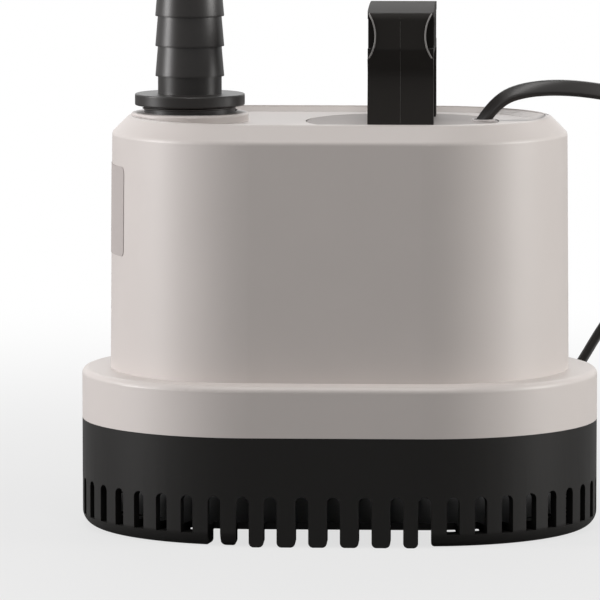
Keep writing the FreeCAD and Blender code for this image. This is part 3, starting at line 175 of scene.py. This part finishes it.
PATCH_SCALE, PATCH_DETAIL, PATCH_DEPTH, SHADE_SPREAD = 38, 4, 0.06, 0.025
GRAIN_DETAIL, GRAIN_HEIGHT = 3, 0.0002
WELD_REACH, SHARP_ANGLE, FACE_WEIGHT = 0.00001, math.radians(35), 80
BASE_ROUNDING = 0.0003


def new_group(name, inputs, outputs):
    """An empty node group with number sockets, and its two end nodes."""
    group = bpy.data.node_groups.new(name, "ShaderNodeTree")
    for socket_name, value in inputs.items():
        socket = group.interface.new_socket(socket_name, in_out="INPUT", socket_type="NodeSocketFloat")
        socket.default_value = value
    for socket_name in outputs:
        group.interface.new_socket(socket_name, in_out="OUTPUT", socket_type="NodeSocketFloat")
    return group, group.nodes.new("NodeGroupInput"), group.nodes.new("NodeGroupOutput")


def moulded_skin():
    """The fine grain of a mould, with patches that are a little more or less glossy or pale."""
    group, given, result = new_group(
        "moulded_skin", {"Gloss": 0.4, "Grain Scale": 1200}, ("Roughness", "Shade", "Grain"))
    place = group.nodes.new("ShaderNodeTexCoord")
    patches = group.nodes.new("ShaderNodeTexNoise")
    patches.inputs["Scale"].default_value = PATCH_SCALE
    patches.inputs["Detail"].default_value = PATCH_DETAIL
    group.links.new(place.outputs["Object"], patches.inputs["Vector"])
    roughness = maths(group, "MULTIPLY_ADD", patches.outputs["Fac"], PATCH_DEPTH, given.outputs["Gloss"])
    group.links.new(roughness, result.inputs["Roughness"])
    group.links.new(patches.outputs["Fac"], result.inputs["Shade"])
    grain = group.nodes.new("ShaderNodeTexNoise")
    grain.inputs["Detail"].default_value = GRAIN_DETAIL
    group.links.new(place.outputs["Object"], grain.inputs["Vector"])
    group.links.new(given.outputs["Grain Scale"], grain.inputs["Scale"])
    group.links.new(grain.outputs["Fac"], result.inputs["Grain"])
    return group


SKIN = moulded_skin()


def moulded(name, color, gloss, grain=0.06, grain_scale=1200, specular=0.5, metallic=0.0):
    """A moulded or cast material whose colour, gloss and grain vary a little over the surface."""
    material = bpy.data.materials.new(name)
    material.use_nodes = True
    tree = material.node_tree
    shader = tree.nodes["Principled BSDF"]
    shader.inputs["Specular IOR Level"].default_value = specular
    shader.inputs["Metallic"].default_value = metallic
    skin = tree.nodes.new("ShaderNodeGroup")
    skin.node_tree = SKIN
    skin.inputs["Gloss"].default_value = gloss - PATCH_DEPTH / 2
    skin.inputs["Grain Scale"].default_value = grain_scale
    tree.links.new(skin.outputs["Roughness"], shader.inputs["Roughness"])
    shades = tree.nodes.new("ShaderNodeMix")
    shades.data_type = "RGBA"
    shades.inputs["A"].default_value = (*[channel * (1 - SHADE_SPREAD) for channel in color], 1)
    shades.inputs["B"].default_value = (*[channel * (1 + SHADE_SPREAD) for channel in color], 1)
    tree.links.new(skin.outputs["Shade"], shades.inputs["Factor"])
    tree.links.new(shades.outputs["Result"], shader.inputs["Base Color"])
    bump = tree.nodes.new("ShaderNodeBump")
    bump.inputs["Strength"].default_value = grain
    bump.inputs["Distance"].default_value = GRAIN_HEIGHT
    tree.links.new(skin.outputs["Grain"], bump.inputs["Height"])
    tree.links.new(bump.outputs["Normal"], shader.inputs["Normal"])
    return material


def cover_with(material, *names):
    """The same material over some of the pump's nodes."""
    for name in names:
        nodes[name].data.materials.clear()
        nodes[name].data.materials.append(material)


def soften_edges(name, width, segments=2):
    """Rounds the sharp edges of one of the pump's nodes."""
    obj = nodes[name]
    weld = obj.modifiers.new("weld", "WELD")
    weld.merge_threshold = WELD_REACH
    bevel = obj.modifiers.new("bevel", "BEVEL")
    bevel.width = width
    bevel.segments = segments
    bevel.limit_method = "ANGLE"
    bevel.angle_limit = SHARP_ANGLE
    normals = obj.modifiers.new("normals", "WEIGHTED_NORMAL")
    normals.keep_sharp = True
    normals.weight = FACE_WEIGHT
    obj.data.shade_smooth()


black_satin = moulded("black_satin", (0.012, 0.0115, 0.011), 0.45, grain=0.10, specular=0.15)
cover_with(black_satin, "strainer_base")
soften_edges("strainer_base", BASE_ROUNDING)


# ---- motor floor, volute and cover ----
# Dark glass-filled mouldings: the floor with the rotor's blind well, the spiral casing under it,
# its cover with the inlet eye, and the riser to the outlet. Screws and flat seals hold them.

THREAD_PITCH = 0.0005
RIDGE_STRENGTH, RIDGE_SHARE = 0.5, 0.4


def even_lines():
    """Rounded ridges at a steady pitch."""
    group, given, result = new_group("even_lines", {"Position": 0, "Pitch": 0.001}, ("Ridge",))
    turns = maths(group, "DIVIDE", given.outputs["Position"], given.outputs["Pitch"])
    wave = maths(group, "SINE", maths(group, "MULTIPLY", turns, math.pi))
    group.links.new(maths(group, "ABSOLUTE", wave), result.inputs["Ridge"])
    return group


LINES = even_lines()


def along_axis(tree, axis):
    """The place along one of the object's own axes."""
    place = tree.nodes.new("ShaderNodeTexCoord")
    split = tree.nodes.new("ShaderNodeSeparateXYZ")
    tree.links.new(place.outputs["Object"], split.inputs["Vector"])
    return split.outputs[axis]


def turned_metal(name, color, gloss, pitch, axis):
    """Metal with fine even lines across one axis, as turning, winding or stacking leaves them."""
    material = moulded(name, color, gloss, metallic=1.0)
    tree = material.node_tree
    lines = tree.nodes.new("ShaderNodeGroup")
    lines.node_tree = LINES
    lines.inputs["Pitch"].default_value = pitch
    tree.links.new(along_axis(tree, axis), lines.inputs["Position"])
    bump = tree.nodes["Bump"]
    bump.inputs["Strength"].default_value = RIDGE_STRENGTH
    bump.inputs["Distance"].default_value = pitch * RIDGE_SHARE
    tree.links.new(lines.outputs["Ridge"], bump.inputs["Height"])
    return material


glass_filled = moulded(
    "glass_filled", (0.075, 0.075, 0.080), 0.52, grain=0.16, grain_scale=700, specular=0.4)
cover_with(glass_filled, "motor_floor", "volute_casing", "volute_cover", "discharge_pipe")
rubber = moulded("soft_rubber", (0.018, 0.018, 0.018), 0.66, grain=0.08, grain_scale=1000, specular=0.3)
cover_with(rubber, "floor_gasket", "cover_seal")
stainless = turned_metal("stainless_thread", (0.60, 0.60, 0.59), 0.30, THREAD_PITCH, "Z")
cover_with(stainless, "floor_screws", "cover_screws", "handle_screws")


# ---- rotor ----
# A ferrite magnet on the impeller's long sleeve, on a ground ceramic shaft. The shaft sits in
# rubber boots at both ends and the rotor runs between two ceramic washers.

cover_with(moulded("impeller_white", (0.70, 0.70, 0.67), 0.42, grain=0.05), "impeller")
cover_with(moulded("ferrite", (0.065, 0.065, 0.068), 0.50, grain=0.20, grain_scale=2500), "rotor_magnet")
ceramic = moulded("ground_ceramic", (0.80, 0.78, 0.72), 0.20, grain=0.02, grain_scale=3000)
cover_with(ceramic, "rotor_shaft", "thrust_washers")
cover_with(rubber, "upper_bearing", "lower_bearing")


# ---- stator ----
# A stack of steel laminations whose poles reach round the rotor's well, a bobbin of enamelled
# copper wire on each leg, a thermal cut-out and two leads, all cast into dark resin.

LAMINATION, WIRE = 0.0005, 0.0006
cover_with(turned_metal("laminations", (0.36, 0.37, 0.38), 0.42, LAMINATION, "Z"), "stator_core")
cover_with(turned_metal("wound_copper", (0.72, 0.33, 0.15), 0.32, WIRE, "X"), "stator_windings")
cover_with(moulded("bobbin_pale", (0.55, 0.57, 0.55), 0.50), "coil_bobbins", "thermal_cutout")
cover_with(moulded("cast_resin", (0.030, 0.027, 0.024), 0.24, grain=0.03, grain_scale=300), "potting_resin")

FRONT_SLEEVE, BACK_SLEEVE = (0.04, 0.10, 0.42), (0.20, 0.09, 0.04)
sleeve = moulded("lead_sleeves", FRONT_SLEEVE, 0.40)
tree = sleeve.node_tree
sleeve_color = tree.nodes.new("ShaderNodeMix")
sleeve_color.data_type = "RGBA"
sleeve_color.inputs["A"].default_value = (*FRONT_SLEEVE, 1)
sleeve_color.inputs["B"].default_value = (*BACK_SLEEVE, 1)
tree.links.new(maths(tree, "GREATER_THAN", along_axis(tree, "Y"), 0), sleeve_color.inputs["Factor"])
tree.links.new(sleeve_color.outputs["Result"], tree.nodes["Principled BSDF"].inputs["Base Color"])
cover_with(sleeve, "lead_wires")


# ---- motor housing ----
# One light grey moulding with a satin skin: the skirt, the oval body and the bevelled deck with
# the raised ring of the outlet. It stands on the strainer. A cove fills the corner between the
# floor of the deck's dish and the wall round it.

HALF_LENGTH, DISH_RADIUS, DISH_TOP, DISH_FLOOR = 0.031, 0.0439, 0.1496, 0.1475
COVE_WIDTH, COVE_BELOW_RIM, COVE_CURVE, COVE_GAP = 0.0030, 0.0003, 1.3, 0.00002
COVE_STEPS, END_STEPS = 6, 32
CREASE = 40


def ring_of_edges(bm, places):
    """A closed ring of edges through some places."""
    corners = [bm.verts.new(place) for place in places]
    return [bm.edges.new((corners[i - 1], corners[i])) for i in range(len(corners))]


def skin_over(bm, loops):
    """Faces from each ring of edges to the next."""
    for one, other in zip(loops, loops[1:]):
        bmesh.ops.bridge_loops(bm, edges=one + other)


housing_grey = moulded(
    "housing_grey", (0.565, 0.524, 0.503), 0.44, grain=0.05, grain_scale=1400, specular=0.42)
cover_with(housing_grey, "motor_housing")
bm = bmesh.new()
rings = []
for step in range(COVE_STEPS + 1):
    inwards = step / COVE_STEPS
    radius = DISH_RADIUS + COVE_GAP - COVE_WIDTH * inwards
    rise = (DISH_TOP - DISH_FLOOR - COVE_BELOW_RIM) * (1 - inwards) ** COVE_CURVE
    turns = [math.pi * (turn / END_STEPS - 0.5) for turn in range(END_STEPS + 1)]
    rings.append(ring_of_edges(bm, [
        (end * (HALF_LENGTH + radius * math.cos(turn)), end * radius * math.sin(turn),
         DISH_FLOOR + COVE_GAP + rise)
        for end in (1, -1) for turn in turns]))
skin_over(bm, rings)
skin_over(bm, [rings[0], rings[-1]])
cove = finished_piece("deck_cove", bm, CREASE)
cove.data.materials.append(housing_grey)
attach(cove, "pump")


# ---- maker's plate ----
# A bare self-adhesive plate of matt film with rounded corners, on the left end of the body. It
# follows the round end and its draft.

PLATE_WIDTH, PLATE_HEIGHT, PLATE_CORNER, PLATE_THICK = 0.050, 0.0325, 0.0022, 0.0001
PLATE_MIDDLE, PLATE_GAP = 0.1161, 0.00006
CORNER_STEPS, STRIPS = 6, 24
END_CENTRE_X, END_RADIUS, END_DRAFT = -0.031, 0.05175, 0.00085
DRAFT_TOP, DRAFT_LENGTH = 0.1496, 0.092
bm = bmesh.new()
bmesh.ops.create_grid(bm, x_segments=1, y_segments=1, size=0.5)
bmesh.ops.scale(bm, vec=(PLATE_WIDTH, PLATE_HEIGHT, 1), verts=bm.verts)
bmesh.ops.bevel(bm, geom=bm.verts[:], offset=PLATE_CORNER, offset_type="OFFSET", affect="VERTICES",
                segments=CORNER_STEPS, profile=0.5, material=-1)
for strip in range(1, STRIPS):
    x = PLATE_WIDTH * (strip / STRIPS - 0.5)
    bmesh.ops.bisect_plane(bm, geom=bm.verts[:] + bm.edges[:] + bm.faces[:], plane_co=(x, 0, 0),
                           plane_no=(1, 0, 0))
bmesh.ops.solidify(bm, geom=bm.faces[:], thickness=PLATE_THICK)
for vertex in bm.verts:
    along, up, lift = vertex.co
    height = PLATE_MIDDLE + up
    radius = END_RADIUS + END_DRAFT * (DRAFT_TOP - height) / DRAFT_LENGTH + PLATE_GAP + abs(lift)
    angle = math.pi + along / END_RADIUS
    vertex.co = (END_CENTRE_X + radius * math.cos(angle), radius * math.sin(angle), height)
plate = finished_piece("makers_plate", bm, CREASE)
plate.data.materials.append(
    moulded("plate_film", (0.42, 0.385, 0.372), 0.62, grain=0.02, grain_scale=600, specular=0.1))
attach(plate, "pump")


# ---- cap and carrying handle ----
# The round cap is glued flush into the deck. Its grey is darker than the deck's, partly its own
# tone and partly painted shade of the handle and the fitting. The black handle is one moulding,
# screwed on from inside, with hollows on both sides of a middle web. Thin pale beads on the rims of
# its scooped edges are a painted highlight where the edges catch the side lamps, and a fine seam of
# the mould runs down each end in the same pale grey.

GRIP_X, GRIP_HALF, CAP_TOP = 0.0228, 0.0118, 0.1475
SCOOP_RADIUS, SCOOP_DEPTH, SCOOP_HEIGHT = 0.0152, 0.0026, 0.0331
RIM_RADIUS, RIM_OUTSIDE, RIM_REACH, RIM_STEPS = 0.00028, 0.0003, 0.94, 16
SEAM_RADIUS, SEAM_START, SEAM_LENGTH, SEAM_STEPS = 0.000015, 0.001, 0.0395, 40
BEAD_SIDES, CLEAR_OF_HANDLE = 6, 0.1
GRIP_ROUNDING, GRIP_SEGMENTS = 0.0007, 3


def bead(bm, line, facing, radius):
    """A thin raised bead along points on a face that looks along Y."""
    loops = []
    for before, point, after in zip([line[0]] + line, line, line[1:] + [line[-1]]):
        forward = (after - before).normalized()
        across = forward.cross(facing).normalized()
        turns = [math.tau * i / BEAD_SIDES for i in range(BEAD_SIDES)]
        loops.append(ring_of_edges(
            bm, [point + radius * (across * math.cos(turn) + facing * math.sin(turn)) for turn in turns]))
    skin_over(bm, loops)
    for end in (loops[0], loops[-1]):
        bmesh.ops.contextual_create(bm, geom=end)


def on_handle(x, height, side):
    """The place where a line along Y meets the handle's outer face."""
    outside, inwards = Vector((x, side * CLEAR_OF_HANDLE, height)), Vector((0, -side, 0))
    hit, place, _, _ = nodes["carry_handle"].ray_cast(outside, inwards)
    return place if hit else None


# The cap's grey is darker than the housing's: partly its own tone, partly painted shade of the handle and
# the fitting.
cap_grey = moulded("cap_grey", (0.335, 0.305, 0.293), 0.50, grain=0.05, grain_scale=1400, specular=0.12)
cover_with(cap_grey, "top_cap")
handle_black = moulded("handle_black", (0.023, 0.0213, 0.0199), 0.60, grain=0.08, specular=0.06)
cover_with(handle_black, "carry_handle")
soften_edges("carry_handle", GRIP_ROUNDING, GRIP_SEGMENTS)

half_angle = math.acos((SCOOP_RADIUS - SCOOP_DEPTH) / SCOOP_RADIUS)
bm = bmesh.new()
for side in (-1, 1):
    facing = Vector((0, side, 0))
    for hand in (-1, 1):
        rim = []
        for step in range(RIM_STEPS + 1):
            angle = half_angle * RIM_REACH * (1 - 2 * step / RIM_STEPS)
            x = GRIP_HALF + SCOOP_RADIUS - SCOOP_DEPTH - (SCOOP_RADIUS + RIM_OUTSIDE) * math.cos(angle)
            height = CAP_TOP + SCOOP_HEIGHT + SCOOP_RADIUS * math.sin(angle)
            rim.append(on_handle(GRIP_X + hand * x, height, side))
        bead(bm, [place for place in rim if place], facing, RIM_RADIUS)
    seam = [on_handle(GRIP_X, CAP_TOP + SEAM_START + SEAM_LENGTH * step / SEAM_STEPS, side)
            for step in range(SEAM_STEPS + 1)]
    bead(bm, [place for place in seam if place], facing, SEAM_RADIUS)
beads = finished_piece("handle_beads", bm)
# The beads' pale grey is a painted highlight along the scoop rims, and the seam has the same grey.
beads.data.materials.append(
    moulded("painted_highlight_grey", (0.20, 0.192, 0.186), 0.45, grain=0.05, specular=0.3))
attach(beads, "pump")


# ---- cord gland and bush ----
# A rubber gland seals the lead where it comes up through the cap. A low grey bush is pressed in
# round it, and its rim stands a little above the cap.

GLAND_X = 0.0522
BUSH_PROFILE = (
    (0.0036, -0.0006), (0.0043, -0.0006), (0.0043, 0.0006), (0.0041, 0.0008), (0.0038, 0.0008),
    (0.0036, 0.0006))
BUSH_STEPS = 48


def closed_profile(bm, x, height, points):
    """The corners and edges of a closed outline in the plane of X and Z, laid out from one place."""
    corners = [bm.verts.new((x + across, 0, height + up)) for across, up in points]
    return corners, [bm.edges.new((corners[i - 1], corners[i])) for i in range(len(corners))]


cover_with(rubber, "cord_gland")
bm = bmesh.new()
corners, outline = closed_profile(bm, GLAND_X, CAP_TOP, BUSH_PROFILE)
bmesh.ops.spin(bm, geom=corners + outline, cent=(GLAND_X, 0, 0), axis=(0, 0, 1), angle=math.tau,
               steps=BUSH_STEPS, use_merge=True)
bush = finished_piece("cord_bush", bm)
bush.data.materials.append(
    moulded("bush_grey", (0.50, 0.47, 0.46), 0.40, grain=0.05, grain_scale=1400, specular=0.3))
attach(bush, "pump")


# ---- hose fitting ----
# A black turned-looking moulding that screws into the outlet: flange, neck and five barbs. The
# last turn of its thread shows as a ridge under the flange.

FITTING_X, THREAD_RADIUS, THREAD_BOTTOM, THREAD_RISE = -0.05455, 0.0166, 0.15085, 0.0014
THREAD_PROFILE = ((-0.0004, -0.0002), (0.0007, 0.0003), (0.0007, 0.0005), (-0.0004, 0.0010))
THREAD_SWEEP, THREAD_STEPS = math.radians(350), 72
fitting_black = moulded("fitting_black", (0.0125, 0.0108, 0.0100), 0.38, grain=0.05, specular=0.36)
cover_with(fitting_black, "hose_barb")
cover_with(rubber, "fitting_seal")
bm = bmesh.new()
corners, outline = closed_profile(bm, FITTING_X + THREAD_RADIUS, THREAD_BOTTOM, THREAD_PROFILE)
spun = bmesh.ops.spin(
    bm, geom=corners + outline, cent=(FITTING_X, 0, 0), axis=(0, 0, 1), angle=THREAD_SWEEP,
    dvec=(0, 0, THREAD_RISE / THREAD_STEPS), steps=THREAD_STEPS, use_duplicate=False)
for end in (outline, [item for item in spun["geom_last"] if isinstance(item, bmesh.types.BMEdge)]):
    bmesh.ops.contextual_create(bm, geom=end)
ridge = finished_piece("thread_ridge", bm, CREASE)
# The ridge's paler black is a painted highlight, where the left lamp lights the thread under the flange.
ridge.data.materials.append(moulded("thread_painted_highlight", (0.055, 0.049, 0.046), 0.40, grain=0.05, specular=0.4))
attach(ridge, "hose_fitting")


# ---- flat lead ----
# One two-core flat lead, 1.8 m long, in a soft black sheath: out of the cap, over the end of the
# deck, down behind the pump, seven turns on edge in two layers, and into the plug.

MM = 0.001
LEAD_WIDTH, LEAD_THICK, LEAD_LENGTH = 0.006, 0.0033, 1.8
ROUTE = [
    (50.6, 0, 145.3), (56.4, 0, 155.0), (68.9, 0.5, 159.6), (88, 3, 159.6), (113, 14, 153.8),
    (128, 34, 118), (118, 54, 89), (102, 64, 75), (82, 66.5, 40), (54, 73.3, 3.6), (7.6, 80.7, 3.9),
]
TAIL = [(-0.5, 82.8, 9.9), (-12.9, 87.3, 8.9), (-26.5, 93.2, 6.85)]
COIL_X, COIL_Y, TURNS, POINTS_PER_TURN = 14.5, 124.05, 7, 16
OUTER_TURN, INNER_TURN, JOINING_TURN = 39.6, 27.3, 43.9
LOWER_LAYER, UPPER_LAYER = 3.9, 10.0
JOINING_PART, CLIMBING_PART = 0.06, 0.035
CONTROL_PULL = 0.75
RING_POINTS, FLATNESS, GROOVE_DEPTH, GROOVE_WIDTH = 20, 3, 0.07, 0.3

# lengths along the lead at which the direction of its wide side is chosen
WIDE_SIDES = [
    (0.000, Vector((-0.45, 0.85, 0.3))), (0.045, Vector((-0.1, 0.25, 1))), (0.090, Vector((0, 0, 1))),
    (0.200, Vector((0.3, 1, 0))), (0.245, Vector((0, 1, 0))), (0.320, Vector((0, 0, 1))),
    (1.745, Vector((0, 0, 1))), (1.790, Vector((0.4, 1, 0))),
]


def eased(part):
    """A part of the way from 0 to 1, with a soft start and a soft stop."""
    return part * part * (3 - 2 * part)


def coil_point(part, first_angle, last_angle):
    """A point of the coil: inwards on the lower layer, then outwards again on the upper one."""
    angle = first_angle + (last_angle - first_angle) * part
    inward = 1 - abs(2 * part - 1)
    radius = OUTER_TURN + (INNER_TURN - OUTER_TURN) * inward
    radius += (JOINING_TURN - OUTER_TURN) * max(0.0, 1 - inward / JOINING_PART) ** 2
    radius /= math.cos(math.pi / POINTS_PER_TURN) ** CONTROL_PULL
    rise = min(1.0, max(0.0, (part - 0.5) / CLIMBING_PART + 0.5))
    height = LOWER_LAYER + (UPPER_LAYER - LOWER_LAYER) * eased(rise)
    return COIL_X + radius * math.cos(angle), COIL_Y + radius * math.sin(angle), height


def line_points(control):
    """The points of the NURBS line with some control points, and the direction ahead at each."""
    curve = bpy.data.curves.new("lead_line", "CURVE")
    curve.dimensions = "3D"
    curve.resolution_u = 8
    spline = curve.splines.new("NURBS")
    spline.points.add(len(control) - 1)
    for point, place in zip(spline.points, control):
        point.co = (*(Vector(place) * MM), 1)
    spline.order_u = 3
    spline.use_endpoint_u = True
    line = bpy.data.objects.new("lead_line", curve)
    scene.collection.objects.link(line)
    mesh = bpy.data.meshes.new_from_object(line)
    points = [vertex.co.copy() for vertex in mesh.vertices]
    bpy.data.objects.remove(line)
    bpy.data.meshes.remove(mesh)
    return points, [
        (after - before).normalized()
        for before, after in zip(points[:1] + points, points[1:] + points[-1:])]


def carried_along(side, ahead):
    """A sideways direction carried along a line without a turn about it."""
    carried = [side]
    for before, after in zip(ahead, ahead[1:]):
        side = carried[-1].copy()
        side.rotate(before.rotation_difference(after))
        carried.append((side - after * side.dot(after)).normalized())
    return carried


def chosen_twists(travelled, ahead, carried):
    """The turn from the carried side to each chosen side, at most a quarter turn on from the last."""
    twists = []
    for place, wanted in WIDE_SIDES:
        index = min(range(len(travelled)), key=lambda i: abs(travelled[i] - place))
        flat = (wanted - ahead[index] * wanted.dot(ahead[index])).normalized()
        angle = math.atan2(ahead[index].dot(carried[index].cross(flat)), carried[index].dot(flat))
        if twists:
            angle -= math.pi * round((angle - twists[-1][1]) / math.pi)
        twists.append((travelled[index], angle))
    return twists


def twist_at(place, twists):
    """The turn of the wide side at a length along the lead, eased from one chosen side to the next."""
    for (start, before), (end, after) in zip(twists, twists[1:]):
        if place <= end:
            return before + (after - before) * eased(max(0.0, (place - start) / (end - start)))
    return twists[-1][1]


def lead_section(bm, centre, wide, thin):
    """A flat oval ring with a shallow groove between the two cores."""
    ring = []
    for i in range(RING_POINTS):
        angle = math.tau * i / RING_POINTS
        sideways = LEAD_THICK / 2 * math.cos(angle)
        sideways += (LEAD_WIDTH - LEAD_THICK) / 2 * max(-1, min(1, FLATNESS * math.cos(angle)))
        groove = 1 - GROOVE_DEPTH * math.exp(-(math.cos(angle) / GROOVE_WIDTH) ** 2)
        ring.append(centre + wide * sideways + thin * (LEAD_THICK / 2 * groove * math.sin(angle)))
    return ring_of_edges(bm, ring)


coil_steps = TURNS * POINTS_PER_TURN
coil_start = math.atan2(ROUTE[-1][1] - COIL_Y, ROUTE[-1][0] - COIL_X)
coil_end = math.atan2(TAIL[0][1] - COIL_Y, TAIL[0][0] - COIL_X) - math.tau * TURNS
coil = [coil_point(step / coil_steps, coil_start, coil_end) for step in range(1, coil_steps)]
path, ahead = line_points(ROUTE + coil + TAIL)
travelled = [0.0]
for one, other in zip(path, path[1:]):
    travelled.append(travelled[-1] + (other - one).length)
first_side = WIDE_SIDES[0][1].cross(ahead[0]).cross(ahead[0]).normalized() * -1
carried = carried_along(first_side, ahead)
twists = chosen_twists(travelled, ahead, carried)

bm = bmesh.new()
loops = []
for centre, forward, side, place in zip(path, ahead, carried, travelled):
    twist = twist_at(place, twists)
    wide = side * math.cos(twist) + forward.cross(side) * math.sin(twist)
    loops.append(lead_section(bm, centre, wide, forward.cross(wide)))
skin_over(bm, loops)
for end in (loops[0], loops[-1]):
    bmesh.ops.contextual_create(bm, geom=end)
lead = finished_piece("flat_lead", bm)
lead.data.materials.append(
    moulded("lead_sheath", (0.015, 0.0132, 0.0124), 0.36, grain=0.05, grain_scale=1500, specular=0.4))
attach(lead, "pump")
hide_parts("power_cord", "cord_coil", "cord_tail")


# ---- plug and tie ----
# A flat two-pin plug of soft black plastic, moulded round the lead's end, with plated pins. A
# strap of the same rubbery plastic holds the coil of spare lead.

TIE_ROUNDING = 0.0002
cover_with(moulded("plug_black", (0.024, 0.024, 0.024), 0.46), "plug_body", "coil_tie")
cover_with(moulded("plated_pins", (0.75, 0.74, 0.71), 0.22, grain=0.02, metallic=1.0), "plug_pins")
soften_edges("coil_tie", TIE_ROUNDING)
